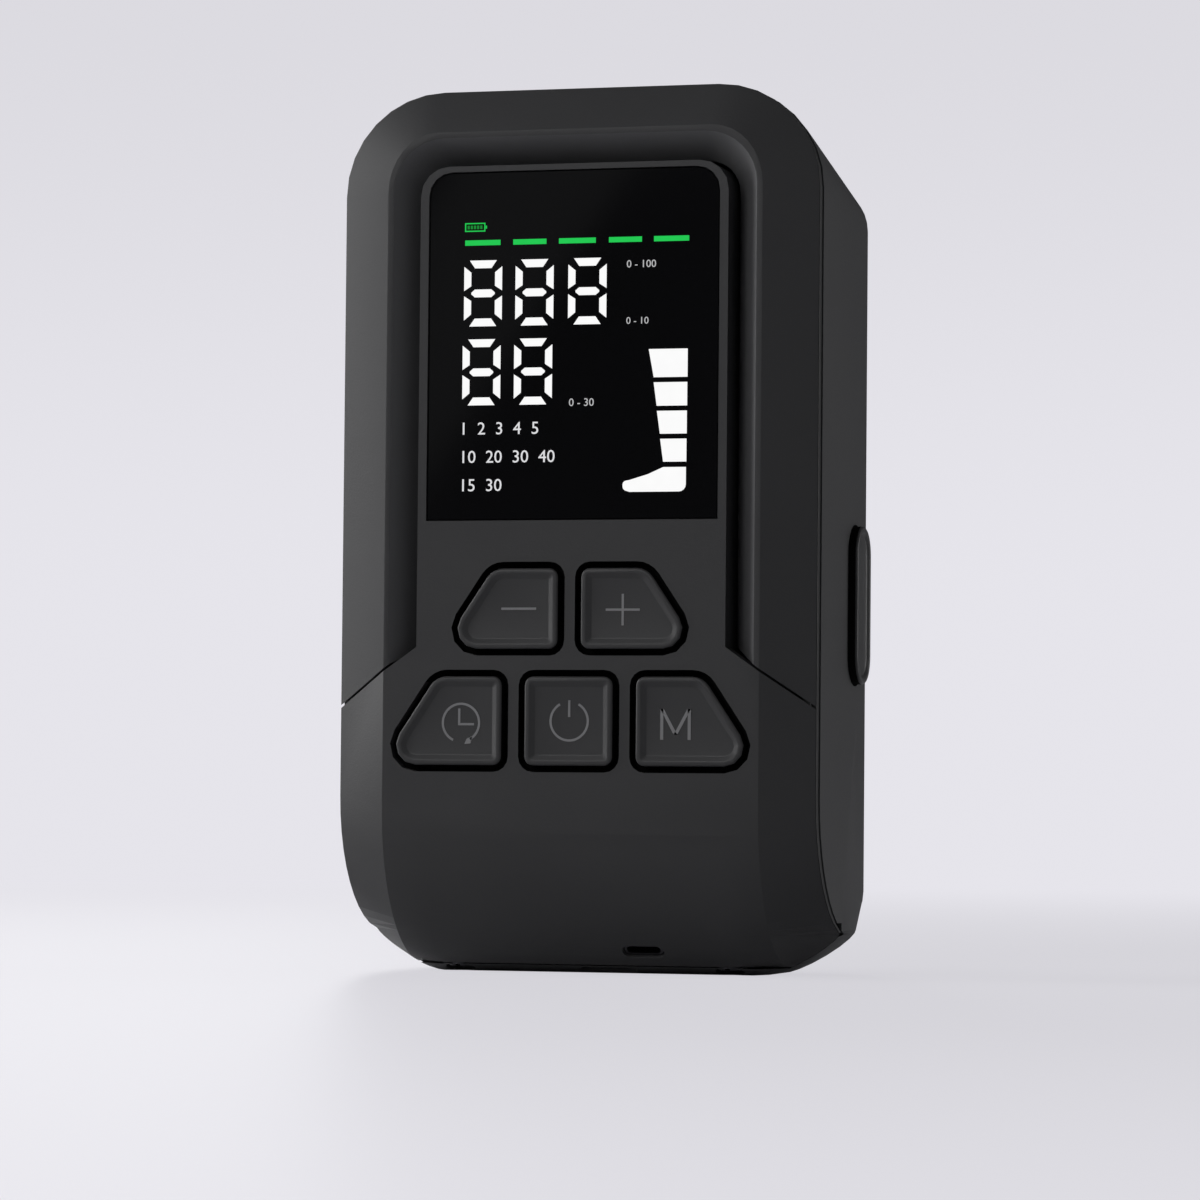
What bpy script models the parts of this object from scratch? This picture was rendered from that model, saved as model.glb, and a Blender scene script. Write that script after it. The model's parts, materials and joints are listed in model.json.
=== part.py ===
"""Compression therapy pump: a hand-held unit that fills leg sleeves with air.

Metres, +Z up, the front faces -Y. The origin is at the centre of the flat base.
Depth is measured backwards from the front plane, so y = depth - REST_DEPTH.
"""

import math

import bmesh
import bpy
from mathutils import Matrix, Vector

# Whole body
HEIGHT = 0.150
HALF_WIDTH = 0.0416
DEPTH = 0.045
REST_DEPTH = 0.0275
WALL = 0.0022
GAP = 0.0003
SEAM = 0.0005
OVERRUN = 0.002

# Front outline: the ridge line lies inside the side edge, and the flank falls from one to the other
TOP_RADIUS = 0.0175
RIDGE_INSET = 0.0088
RIDGE_TOP_INSET = 0.0074
FLANK_DEPTH = 0.004
RIDGE_WIDTH = 0.00097
SLOPE_WIDTH = 0.0044
SLOPE_DEPTH = 0.00635
SLOPE_TOP_DROP = 0.0043
SLOPE_RADIUS = 0.009
FOOT_RADIUS = 0.0055
FOOT_RIM = 0.0015

# Chin: a quarter ellipse from the front plane to the crease above the base
CHIN_TOP = 0.028
CHIN_DEPTH = 0.024
CHIN_HEIGHT = 0.0288
CREASE_Z = 0.0015
CREASE_DEPTH = 0.0146

# The chin's profile along the ridge is less tall, so its lower corners sweep back
SIDE_CHIN_HEIGHT = 0.0267
SHOULDER_INSET = 0.0156
SHOULDER_X = HALF_WIDTH - SHOULDER_INSET
CORNER_DEPTH = 0.0232
CORNER_START_INSET = 0.0146
CORNER_START_X = HALF_WIDTH - CORNER_START_INSET

# Lower corners of the body: a flattened round, wider in front and taller at the rear
CORNER_CUT_WIDTH = 0.0125
CORNER_CUT_HEIGHT = 0.0076
CORNER_CUT_WEIGHT = 0.22
CORNER_CUT_END = 0.024
CORNER_CUT_SPREAD = 0.35
REAR_CUT = 0.0106
REAR_CUT_WEIGHT = 0.6

# Parting curve of the front, seen from the side, and the bands behind it
SWEEP_TOP = 0.030
SWEEP_DEPTH = 0.025
SWEEP_END_Z = 0.007
SWEEP_SPARE = 0.0005
SWEEP_HEIGHT = SWEEP_TOP - SWEEP_END_Z + SWEEP_SPARE
BAND_GROOVE = 0.0012
BAND_WIDTH = 0.0017
BAND_INSET = 0.00015
TONGUE_INSET = 0.001
TONGUE_END_INSET = 0.0024

# Base band, base flat and the taper of the rear housing
BAND_START_DEPTH = 0.0152
BAND_RISE = 0.0013
FLAT_START_DEPTH = 0.0195
TAPER_START_DEPTH = 0.0074
REAR_ROUND_RUN = 0.004
TAPER_END_DEPTH = DEPTH - REAR_ROUND_RUN
BASE_RISE_RUN = 0.0055
FLAT_END_DEPTH = TAPER_END_DEPTH - BASE_RISE_RUN
TAPER_TOP_DROP = 0.0137
TAPER_BASE_RISE = 0.0034
TAPER_RADIUS = 0.007
REAR_ROUNDING = 0.0035

# Slanted parting between the bezel and the front panel
PARTING_INNER_Z = 0.0554
PARTING_OUTER_Z = 0.0451

# Centre panel, its column and the display window
PANEL_SEAM = 0.00047
PANEL_HALF_WIDTH = HALF_WIDTH - RIDGE_INSET - RIDGE_WIDTH - SLOPE_WIDTH - PANEL_SEAM
PANEL_TOP_INSET = 0.01328
PANEL_TOP = HEIGHT - PANEL_TOP_INSET
PANEL_RADIUS = 0.005
COLUMN_DEPTH = 0.0102
COLUMN_WALL = 0.002
WINDOW_SIDE_INSET = 0.00172
WINDOW_HALF_WIDTH = PANEL_HALF_WIDTH - WINDOW_SIDE_INSET
WINDOW_BASE = 0.07674
WINDOW_TOP_INSET = 0.00123
WINDOW_TOP = PANEL_TOP - WINDOW_TOP_INSET
WINDOW_RADIUS = 0.0038
WINDOW_THICKNESS = 0.0015
WINDOW_DROP = 0.0003
WINDOW_PLAY = 0.00025
LEDGE_WIDTH = 0.0027
LEDGE_THICKNESS = 0.0016

# Keys: outlines are mirrored for the other side
KEY_TRAVEL = 0.0007
KEY_PROUD = 0.0004
KEY_GAP = 0.0011
KEY_RIM = 0.0006
KEY_BEVEL = 0.0009
KEY_DISH = 0.0005
KEY_EDGE = 0.00025
KEY_SIDE_RADIUS = 0.0034
KEY_INNER_RADIUS = 0.0015
KEY_TOP_RADIUS = 0.0035
KEY_FLANGE = 0.0016
KEY_FLANGE_THICKNESS = 0.001
KEY_STEM_RADIUS = 0.002
ROW1_BASE = 0.0548
ROW1_TOP = 0.0684
ROW1_INNER = 0.0020
ROW1_SHOULDER_INSET = 0.0281
ROW1_SHOULDER = HALF_WIDTH - ROW1_SHOULDER_INSET
ROW1_OUTER_INSET = 0.01895
ROW1_OUTER = HALF_WIDTH - ROW1_OUTER_INSET
ROW2_BASE = 0.0352
ROW2_TOP = 0.0502
ROW2_INNER = 0.0117
ROW2_SHOULDER_INSET = 0.0183
ROW2_SHOULDER = HALF_WIDTH - ROW2_SHOULDER_INSET
ROW2_OUTER_INSET = 0.0083
ROW2_OUTER = HALF_WIDTH - ROW2_OUTER_INSET
POWER_HALF_WIDTH = 0.0077
MINUS_SYMBOL_X = 0.0091
MODE_SYMBOL_X = 0.0188

# Keypad: membrane, switches and the board they sit on
MEMBRANE_DEPTH = 0.0062
MEMBRANE_THICKNESS = 0.0008
MEMBRANE_SIDE_INSET = 0.00246
MEMBRANE_HALF_WIDTH = PANEL_HALF_WIDTH - MEMBRANE_SIDE_INSET
MEMBRANE_BASE = 0.034
MEMBRANE_TOP = 0.068
SWITCH_SIZE = 0.006
SWITCH_CAP_RADIUS = 0.0017
SWITCH_CAP_HEIGHT = 0.0007
BOARD_DEPTH = 0.0105
BOARD_THICKNESS = 0.0016
BOARD_SIDE_INSET = 0.00096
BOARD_HALF_WIDTH = PANEL_HALF_WIDTH - BOARD_SIDE_INSET
BOARD_BASE = 0.030
BOARD_TOP_INSET = 0.00372
BOARD_TOP = PANEL_TOP - BOARD_TOP_INSET
BOARD_CORNER = 0.0015

# Display stack behind the window
DISPLAY_SIDE_INSET = 0.00164
DISPLAY_HALF_WIDTH = WINDOW_HALF_WIDTH - DISPLAY_SIDE_INSET
DISPLAY_BASE = 0.0785
DISPLAY_TOP_INSET = 0.00229
DISPLAY_TOP = WINDOW_TOP - DISPLAY_TOP_INSET
DISPLAY_THICKNESS = 0.0022
BACKLIGHT_THICKNESS = 0.0015
FRAME_WALL = 0.0008
FRAME_FLOOR = 0.0008

# Parts on the back of the board
CHIP_SIZE = 0.012
CHIP_THICKNESS = 0.0014
CHIP_Z = 0.107
BUZZER_RADIUS = 0.0045
BUZZER_HEIGHT = 0.004
BUZZER_HOLE = 0.001
BUZZER_SIDE_INSET = 0.010
BUZZER_X = BOARD_HALF_WIDTH - BUZZER_SIDE_INSET
SENSOR_SIZE = 0.008
SENSOR_THICKNESS = 0.0035
SENSOR_PORT_RADIUS = 0.0013
SENSOR_PORT_LENGTH = 0.003
SENSOR_X = 0
SENSOR_Z = 0.090

# Battery
CELL_RADIUS = 0.0092
CELL_LENGTH = 0.065
CELL_TOP_INSET = 0.0195
CELL_BASE = HEIGHT - CELL_TOP_INSET - CELL_LENGTH
CELL_SPACING = 0.0192
CELL_REAR_INSET = 0.0135
CELL_DEPTH = DEPTH - CELL_REAR_INSET
CELL_CAP_RADIUS = 0.003
CELL_CAP_HEIGHT = 0.0008
HOLDER_WALL = 0.0015

# Air pump across the base of the housing, turning about X
PUMP_Z = 0.019
PUMP_REAR_INSET = 0.017
PUMP_DEPTH = DEPTH - PUMP_REAR_INSET
MOTOR_RADIUS = 0.0115
MOTOR_LENGTH = 0.028
MOTOR_END_INSET = 0.0071
MOTOR_END_X = MOTOR_END_INSET - HALF_WIDTH
MOTOR_WALL = 0.001
ROTOR_RADIUS = 0.0085
SHAFT_RADIUS = 0.001
ECCENTRIC_RADIUS = 0.004
ECCENTRIC_LENGTH = 0.003
ECCENTRIC_OFFSET = 0.001
ROTOR_PLAY = 0.0015
HEAD_LENGTH = 0.0215
HEAD_RADIUS = 0.0125
HEAD_WALL = 0.002
WOBBLE_RADIUS = 0.0085
WOBBLE_THICKNESS = 0.002
WOBBLE_TILT = math.radians(5)
WOBBLE_STEM = 0.0045
WOBBLE_STEM_RADIUS = 0.003
DIAPHRAGM_THICKNESS = 0.0012
COVER_LENGTH = 0.005
NIPPLE_RADIUS = 0.002
NIPPLE_BORE = 0.0011
NIPPLE_LENGTH = 0.006
BRACKET_WIDTH = 0.006
BRACKET_FOOT = 0.006

# Valves on the manifold
VALVE_X = 0.013
VALVE_WIDTH = 0.009
VALVE_DEPTH = 0.0085
VALVE_HEIGHT = 0.016
PLUNGER_RADIUS = 0.0018
PLUNGER_PROUD = 0.0015
PLUNGER_LENGTH = 0.007
MANIFOLD_HALF_WIDTH = 0.022
MANIFOLD_BASE = 0.050
MANIFOLD_TOP = 0.060
MANIFOLD_BORE = 0.0013
MANIFOLD_PORT_X = 0.017
TUBE_RADIUS = 0.0016

# Hose socket in the rear face
SOCKET_HALF_WIDTH = 0.013
SOCKET_HALF_HEIGHT = 0.005
SOCKET_Z = 0.056
SOCKET_DEPTH = 0.006
SOCKET_WALL = 0.001
SOCKET_PORT_X = 0.0065
SOCKET_PORT_RADIUS = 0.0015
SOCKET_NOZZLE = 0.0026
NOZZLE_LENGTH = 0.003

# Charging socket in the chin
PORT_X = 0.0104
PORT_WIDTH = 0.0073
PORT_HEIGHT = 0.0033
PORT_SHELL_WALL = 0.0004
PORT_LENGTH = 0.0065
PORT_RECESS = 0.0005
PORT_Z = 0.0039
PORT_BOARD_WIDTH = 0.013
PORT_BOARD_LENGTH = 0.006
PORT_BOARD_THICKNESS = 0.0012

# Air inlet slot in the base, and its filter
INLET_X = 0.0027
INLET_WIDTH = 0.010
INLET_HEIGHT = 0.0024
INLET_DEPTH = 0.0172
FILTER_MARGIN = 0.0015
FILTER_LIP = 0.0008
FILTER_THICKNESS = 0.002

# Side button and what is behind it
BUTTON_Z = 0.0634
BUTTON_REAR_INSET = 0.01165
BUTTON_DEPTH = DEPTH - BUTTON_REAR_INSET
BUTTON_LENGTH = 0.0272
BUTTON_WIDTH = 0.0107
BUTTON_PROUD = 0.0016
BUTTON_RIM = 0.0007
BUTTON_DISH = 0.0005
BUTTON_EDGE = 0.0003
BUTTON_PLAY = 0.0003
BUTTON_FLANGE = 0.001
BUTTON_TRAVEL = 0.001
BUTTON_STEM_RADIUS = 0.0015
BUTTON_STEM_LENGTH = 0.002
SIDE_SWITCH_THICKNESS = 0.0035
SIDE_SWITCH_HEIGHT = 0.008

# Screws and their posts
SCREW_LOW_INSET = 0.0061
SCREW_LOW_X = HALF_WIDTH - SCREW_LOW_INSET
SCREW_LOW_Z = 0.040
SCREW_HIGH_INSET = 0.0091
SCREW_HIGH_X = HALF_WIDTH - SCREW_HIGH_INSET
SCREW_HIGH_DROP = 0.031
SCREW_HIGH_Z = HEIGHT - SCREW_HIGH_DROP
POST_RADIUS = 0.0026
POST_START = 0.003
TOWER_RADIUS = 0.0032
TOWER_FRONT_DEPTH = 0.0131
SCREW_BORE = 0.0011
SCREW_RADIUS = 0.0008
SCREW_HEAD_RADIUS = 0.002
SCREW_HEAD_HEIGHT = 0.0016
SCREW_SLOT = 0.0009
SCREW_LENGTH = 0.009
SCREW_SEAT_DEPTH = 0.0155
BASE_SCREW_INSET = 0.0177
BASE_SCREW_X = HALF_WIDTH - BASE_SCREW_INSET
BASE_SCREW_DEPTH = 0.0176
BASE_SCREW_HEAD_RADIUS = 0.00225
BASE_SCREW_HEAD = 0.0006
BASE_SCREW_RECESS = 0.0009
BASE_SCREW_LENGTH = 0.006
BASE_BOSS_HEIGHT = 0.008
BASE_BORE_SPARE = 0.0015
BORE_SPARE = 0.001
HOLLOW_RUN = 0.03

# Counts of facets
CORNER_STEPS = 8
SWEEP_STEPS = 10
SMALL_STEPS = 4
ROUND_STEPS = 24
FINE_STEPS = 12
TUBE_STEPS = 10
TUBE_FACETS = 2
SMOOTH_ANGLE = math.radians(35)
AXIS_X = Vector((1, 0, 0))
AXIS_Y = Vector((0, 1, 0))
AXIS_Z = Vector((0, 0, 1))


def at(x, depth, z):
    """The world point at this distance behind the front plane."""
    return Vector((x, depth - REST_DEPTH, z))


def make_material(name, colour, roughness, metallic=0.0):
    material = bpy.data.materials.new(name)
    material.use_nodes = True
    shader = material.node_tree.nodes["Principled BSDF"]
    shader.inputs["Base Color"].default_value = (*colour, 1.0)
    shader.inputs["Roughness"].default_value = roughness
    shader.inputs["Metallic"].default_value = metallic
    material.diffuse_color = (*colour, 1.0)
    return material


def object_from(bm, name):
    """A new object of this bmesh, with its faces turned outwards."""
    bmesh.ops.recalc_face_normals(bm, faces=bm.faces)
    mesh = bpy.data.meshes.new(name)
    bm.to_mesh(mesh)
    bm.free()
    obj = bpy.data.objects.new(name, mesh)
    bpy.context.scene.collection.objects.link(obj)
    return obj


def loft(rings, name="form"):
    """A closed solid through rings of matching points, with flat ends."""
    bm = bmesh.new()
    rows = [[bm.verts.new(point) for point in ring] for ring in rings]
    count = len(rows[0])
    sides = []
    for low, high in zip(rows, rows[1:]):
        for i in range(count):
            j = (i + 1) % count
            sides.append(bm.faces.new((low[i], low[j], high[j], high[i])))
    bm.faces.new(rows[0])
    bm.faces.new(rows[-1])
    bmesh.ops.triangulate(bm, faces=sides)
    return object_from(bm, name)


def turned(profile, centre, axis, steps=ROUND_STEPS, name="form", closed=False):
    """A solid turned about an axis through centre, from (radius, distance along the axis) points.

    An open profile is capped at both ends, and a closed one makes a ring.
    """
    turn = axis.to_track_quat("Z", "Y").to_matrix().to_4x4()
    bm = bmesh.new()
    rings = []
    for radius, along in profile:
        if radius == 0:
            rings.append([bm.verts.new((0, 0, along))])
            continue
        angles = [2 * math.pi * i / steps for i in range(steps)]
        ring = [(radius * math.cos(a), radius * math.sin(a), along) for a in angles]
        rings.append([bm.verts.new(point) for point in ring])
    following = rings[1:] + rings[:1] if closed else rings[1:]
    for low, high in zip(rings, following):
        for i in range(steps):
            j = (i + 1) % steps
            corners = (low[i % len(low)], low[j % len(low)], high[j % len(high)], high[i % len(high)])
            bm.faces.new(list(dict.fromkeys(corners)))
    for ring in () if closed else (rings[0], rings[-1]):
        if len(ring) > 1:
            bm.faces.new(ring)
    bm.transform(Matrix.Translation(centre) @ turn)
    return object_from(bm, name)


def rod(centre, axis, radius, length, steps=ROUND_STEPS, name="form"):
    """A cylinder from centre along axis."""
    return turned([(radius, 0), (radius, length)], centre, axis, steps, name)


def box(low, high, name="form"):
    """A box between two (x, depth, z) corners."""
    bm = bmesh.new()
    bmesh.ops.create_cube(bm, size=1)
    first = at(*low)
    last = at(*high)
    size = Matrix.Diagonal((*(last - first), 1))
    bm.transform(Matrix.Translation((first + last) / 2) @ size)
    return object_from(bm, name)


def rounded(corners, radii, steps=SMALL_STEPS):
    """A 2D outline through corners, each rounded to its own radius."""
    outline = []
    count = len(corners)
    for i, corner in enumerate(corners):
        here = Vector(corner)
        before = (Vector(corners[i - 1]) - here).normalized()
        after = (Vector(corners[(i + 1) % count]) - here).normalized()
        if radii[i] == 0:
            outline.append(tuple(here))
            continue
        half = before.angle(after) / 2
        middle = here + (before + after).normalized() * radii[i] / math.sin(half)
        start = here + before * radii[i] / math.tan(half) - middle
        end = here + after * radii[i] / math.tan(half) - middle
        sweep = math.atan2(start.x * end.y - start.y * end.x, start.dot(end))
        for k in range(steps + 1):
            a = sweep * k / steps
            turned_x = start.x * math.cos(a) - start.y * math.sin(a)
            turned_y = start.x * math.sin(a) + start.y * math.cos(a)
            outline.append((middle.x + turned_x, middle.y + turned_y))
    return outline


def rectangle(half_width, base, top, top_radius=0, base_radius=0, centre=0, steps=SMALL_STEPS):
    """A rounded rectangle in x and z."""
    left = centre - half_width
    right = centre + half_width
    corners = [(left, base), (right, base), (right, top), (left, top)]
    return rounded(corners, [base_radius, base_radius, top_radius, top_radius], steps)


def plate(outline, front, back, name="form"):
    """A plate of an x, z outline between two depths."""
    return loft([[at(x, depth, z) for x, z in outline] for depth in (front, back)], name)


def side_plate(outline, left, right, name="form"):
    """A plate of a depth, z outline between two x."""
    return loft([[at(x, depth, z) for depth, z in outline] for x in (left, right)], name)


def bake(obj):
    """Applies the object's modifiers."""
    graph = bpy.context.evaluated_depsgraph_get()
    mesh = bpy.data.meshes.new_from_object(obj.evaluated_get(graph))
    obj.modifiers.clear()
    obj.data = mesh


def combine(obj, others, operation):
    """Joins others to obj, or cuts them from it, and removes them."""
    for other in others:
        other.hide_render = True
        other.display_type = "WIRE"
        modifier = obj.modifiers.new(operation.lower(), "BOOLEAN")
        modifier.operation = operation
        modifier.object = other
        bake(obj)
        bpy.data.objects.remove(other)
    return obj


def cut(obj, *cutters):
    return combine(obj, cutters, "DIFFERENCE")


def join(obj, *others):
    return combine(obj, others, "UNION")


def keep(obj, region):
    return combine(obj, [region], "INTERSECT")


def finish(obj, name, material, origin=None, parent=None):
    """Names the piece, gives it its material and puts its origin where its motion is measured."""
    obj.name = name
    obj.data.name = name
    obj.data.materials.clear()
    obj.data.materials.append(material)
    if origin is None:
        corners = [vertex.co for vertex in obj.data.vertices]
        low = Vector([min(c[i] for c in corners) for i in range(3)])
        high = Vector([max(c[i] for c in corners) for i in range(3)])
        origin = (low + high) / 2
    obj.data.transform(Matrix.Translation(-origin))
    obj.location = origin
    obj.parent = parent
    obj.data.shade_smooth()
    obj.data.set_sharp_from_angle(angle=SMOOTH_ANGLE)
    return obj


# Curves that several pieces share


def chin(z, inset=0, height=CHIN_HEIGHT):
    """The depth of the front face at height z."""
    if z >= CHIN_TOP:
        return inset
    fall = (CHIN_TOP - z) / (height - inset)
    return CHIN_DEPTH - (CHIN_DEPTH - inset) * math.sqrt(max(0, 1 - fall * fall))


def parting(z):
    """The depth of the front cover's edge at height z, seen from the side."""
    if z >= SWEEP_TOP:
        return FLANK_DEPTH
    fall = (SWEEP_TOP - max(z, SWEEP_END_Z)) / SWEEP_HEIGHT
    depth = FLANK_DEPTH + SWEEP_DEPTH * (1 - math.sqrt(1 - fall * fall))
    if z >= SWEEP_END_Z:
        return depth
    share = (z - CREASE_Z) / (SWEEP_END_Z - CREASE_Z)
    return CORNER_DEPTH + (depth - CORNER_DEPTH) * share


def base_z(depth):
    """The height of the underside at this depth."""
    if depth <= FLAT_START_DEPTH:
        share = (FLAT_START_DEPTH - max(depth, BAND_START_DEPTH)) / (FLAT_START_DEPTH - BAND_START_DEPTH)
        return BAND_RISE * share
    if depth <= FLAT_END_DEPTH:
        return 0
    return TAPER_BASE_RISE * (depth - FLAT_END_DEPTH) / (TAPER_END_DEPTH - FLAT_END_DEPTH)


def top_z(depth):
    """The height of the top at this depth."""
    share = max(0, depth - TAPER_START_DEPTH) / (TAPER_END_DEPTH - TAPER_START_DEPTH)
    return HEIGHT - TAPER_TOP_DROP * share


def corner_cut(depth, inset=0):
    """The width, height and weight of the lower corner at this depth, or of the same corner inset."""
    rear = min(1, max(0, depth - FLAT_END_DEPTH) / (TAPER_END_DEPTH - FLAT_END_DEPTH))
    width = CORNER_CUT_WIDTH + CORNER_CUT_SPREAD * max(0, CORNER_CUT_END - depth)
    width += (REAR_CUT - width) * rear
    height = CORNER_CUT_HEIGHT + (REAR_CUT - CORNER_CUT_HEIGHT) * rear
    weight = CORNER_CUT_WEIGHT + (REAR_CUT_WEIGHT - CORNER_CUT_WEIGHT) * rear
    slant = math.hypot(width, height)
    near = width * height / slant
    shrink = (near + inset - inset * (width + height) / slant) / near
    return width * shrink, height * shrink, weight


def side_x(z, depth, inset=0):
    """Half the width at height z below the top corners, with the flattened lower corner."""
    width, height, weight = corner_cut(depth, inset)
    rise = (z - base_z(depth) - inset) / height
    if rise >= 1:
        return HALF_WIDTH - inset
    if rise <= 0:
        return HALF_WIDTH - inset - width
    run = math.sqrt(weight * weight + (1 - rise) / rise) - weight
    return HALF_WIDTH - inset - width * run * run / (1 + 2 * weight * run + run * run)


def lower_corner(depth, inset):
    """Points round the right lower corner at this depth, from the base to the side."""
    width, height, weight = corner_cut(depth, inset)
    points = []
    for i in range(CORNER_STEPS + 1):
        far = i / CORNER_STEPS
        near = 1 - far
        total = near * near + 2 * weight * near * far + far * far
        x = HALF_WIDTH - inset - width * near * near / total
        points.append((x, base_z(depth) + inset + height * far * far / total))
    return points


def side_levels(lowest):
    """Heights down the side that follow the sweep and then the lower corner."""
    levels = []
    last = math.asin((SWEEP_TOP - SWEEP_END_Z) / SWEEP_HEIGHT)
    for i in range(SWEEP_STEPS + 1):
        levels.append(SWEEP_TOP - SWEEP_HEIGHT * math.sin(last * i / SWEEP_STEPS))
    for i in range(1, CORNER_STEPS + 1):
        levels.append(SWEEP_END_Z - (SWEEP_END_Z - lowest) * i / CORNER_STEPS)
    return levels


def top_corner(width, height, middle_x, middle_z):
    """Points round the upper right corner, from its top to its side."""
    angles = [math.pi / 2 * (1 - i / CORNER_STEPS) for i in range(CORNER_STEPS + 1)]
    return [(middle_x + width * math.cos(a), middle_z + height * math.sin(a)) for a in angles]


def front_block(inset, run_on, lowest):
    """The front cover's block from its face to the parting, or the hollow inside it.

    Matching half loops are skinned: the ridge line on the face, the edge at the parting, and for
    the hollow a copy of the edge further back. A shoulder line divides the face below the keys.
    """
    flank = math.hypot(RIDGE_INSET, FLANK_DEPTH)
    ridge_in = inset * (flank - RIDGE_INSET) / FLANK_DEPTH
    edge_back = inset * (flank - FLANK_DEPTH) / RIDGE_INSET
    middle_x = HALF_WIDTH - TOP_RADIUS
    middle_z = HEIGHT - TOP_RADIUS
    ridge_wide = TOP_RADIUS - RIDGE_INSET - ridge_in
    ridge_high = TOP_RADIUS - RIDGE_TOP_INSET - ridge_in
    edge_round = TOP_RADIUS - inset
    ridge = [(x, inset, z) for x, z in top_corner(ridge_wide, ridge_high, middle_x, middle_z)]
    edge = [
        (x, FLANK_DEPTH + edge_back, z) for x, z in top_corner(edge_round, edge_round, middle_x, middle_z)
    ]
    corner = len(ridge)
    shoulder = []
    for z in side_levels(lowest):
        depth = parting(z)
        half = side_x(z, depth, inset)
        shoulder.append((SHOULDER_X, chin(z, inset), z))
        ridge.append((min(HALF_WIDTH - RIDGE_INSET - ridge_in, half), chin(z, inset, SIDE_CHIN_HEIGHT), z))
        edge.append((half, depth + edge_back, z))
    loops = [ridge, edge]
    if run_on:
        loops.append([(x, depth + run_on, z) for x, depth, z in edge])
    bm = bmesh.new()

    def half_verts(sign):
        return [[bm.verts.new(at(sign * x, depth, z)) for x, depth, z in loop] for loop in [shoulder] + loops]

    right_shoulder, *right = half_verts(1)
    left_shoulder, *left = half_verts(-1)
    for i in range(len(edge) - 1):
        bm.faces.new((left[-1][i], right[-1][i], right[-1][i + 1], left[-1][i + 1]))
    for i in range(corner - 1):
        bm.faces.new((left[0][i], right[0][i], right[0][i + 1], left[0][i + 1]))
    brow = [left[0][corner - 1], right[0][corner - 1], right[0][corner]]
    bm.faces.new(brow + [right_shoulder[0], left_shoulder[0], left[0][corner]])
    strips = []
    for side, inner in ((right, right_shoulder), (left, left_shoulder)):
        ridge_line = side[0][corner:]
        for i in range(len(inner) - 1):
            strips.append(bm.faces.new((inner[i], ridge_line[i], ridge_line[i + 1], inner[i + 1])))
        for near, far in zip(side, side[1:]):
            for i in range(len(near) - 1):
                strips.append(bm.faces.new((near[i], far[i], far[i + 1], near[i + 1])))
    for i in range(len(shoulder) - 1):
        between = (left_shoulder[i], right_shoulder[i], right_shoulder[i + 1], left_shoulder[i + 1])
        bm.faces.new(between)
    bm.faces.new([loop[0] for loop in left] + [loop[0] for loop in reversed(right)])
    under = [left_shoulder[-1]] + [loop[-1] for loop in left]
    bm.faces.new(under + [loop[-1] for loop in reversed(right)] + [right_shoulder[-1]])
    bmesh.ops.triangulate(bm, faces=strips, quad_method="SHORT_EDGE")
    return object_from(bm, "front block")


def behind_parting(shift, seam):
    """All that lies behind the parting curve when that is shifted back. Its short lower run keeps a seam."""
    curve = []
    for z in side_levels(CREASE_Z):
        curve.append((parting(z) + shift, z))
    end = curve[SWEEP_STEPS]
    slope = Vector((end[0] - shift - CREASE_DEPTH, SWEEP_END_Z - CREASE_Z)).normalized()
    step = Vector((slope.y, -slope.x)) * seam
    curve = curve[: SWEEP_STEPS + 1]
    curve.append((end[0] - shift + step.x, end[1] + step.y))
    foot = Vector((CREASE_DEPTH, CREASE_Z)) + step
    curve.append((foot.x - slope.x * OVERRUN, foot.y - slope.y * OVERRUN))
    outline = [(curve[0][0], HEIGHT + OVERRUN)] + curve + [(curve[-1][0], -OVERRUN)]
    outline += [(DEPTH + OVERRUN, -OVERRUN), (DEPTH + OVERRUN, HEIGHT + OVERRUN)]
    return side_plate(outline, -HALF_WIDTH - OVERRUN, HALF_WIDTH + OVERRUN)


def under_panel():
    """The room in the middle below the front panel's sloping underside, which the rear housing fills."""
    end = (parting(SWEEP_END_Z), SWEEP_END_Z)
    fall = (SWEEP_END_Z - CREASE_Z) / (end[0] - CREASE_DEPTH)
    ahead = (CREASE_DEPTH - OVERRUN, CREASE_Z - OVERRUN * fall)
    beyond = (end[0] + OVERRUN, end[1] + OVERRUN * fall)
    outline = [ahead, beyond, (beyond[0], -OVERRUN), (ahead[0], -OVERRUN)]
    return side_plate(outline, -CORNER_START_X, CORNER_START_X)


def corner_rooms():
    """The room that each lower corner of the front panel takes from the rear housing."""
    end = parting(SWEEP_END_Z) + SEAM
    floor = CREASE_Z - GAP
    outline = [(-OVERRUN, floor), (CORNER_DEPTH + SEAM, floor), (end, SWEEP_END_Z)]
    outline += [(end, SWEEP_END_Z + OVERRUN), (-OVERRUN, SWEEP_END_Z + OVERRUN)]
    inner = CORNER_START_X - SEAM
    outer = HALF_WIDTH + OVERRUN
    return [side_plate(outline, inner, outer), side_plate(outline, -outer, -inner)]


def parting_slope_z(x):
    """The height of the slanted parting at this distance from the middle."""
    run = (abs(x) - PANEL_HALF_WIDTH) / (HALF_WIDTH - PANEL_HALF_WIDTH)
    return PARTING_INNER_Z + (PARTING_OUTER_Z - PARTING_INNER_Z) * run


def slanted_region(upper, shift):
    """All that lies above or below the slanted parting, with its border moved by shift."""
    reach = HALF_WIDTH + OVERRUN
    start = PANEL_HALF_WIDTH - COLUMN_WALL / 2
    inner = parting_slope_z(start) + shift
    outer = parting_slope_z(reach) + shift
    border = [(reach, outer), (start, inner), (-start, inner), (-reach, outer)]
    far = HEIGHT + OVERRUN if upper else -OVERRUN
    return plate(border + [(-reach, far), (reach, far)], -OVERRUN, DEPTH)


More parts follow.
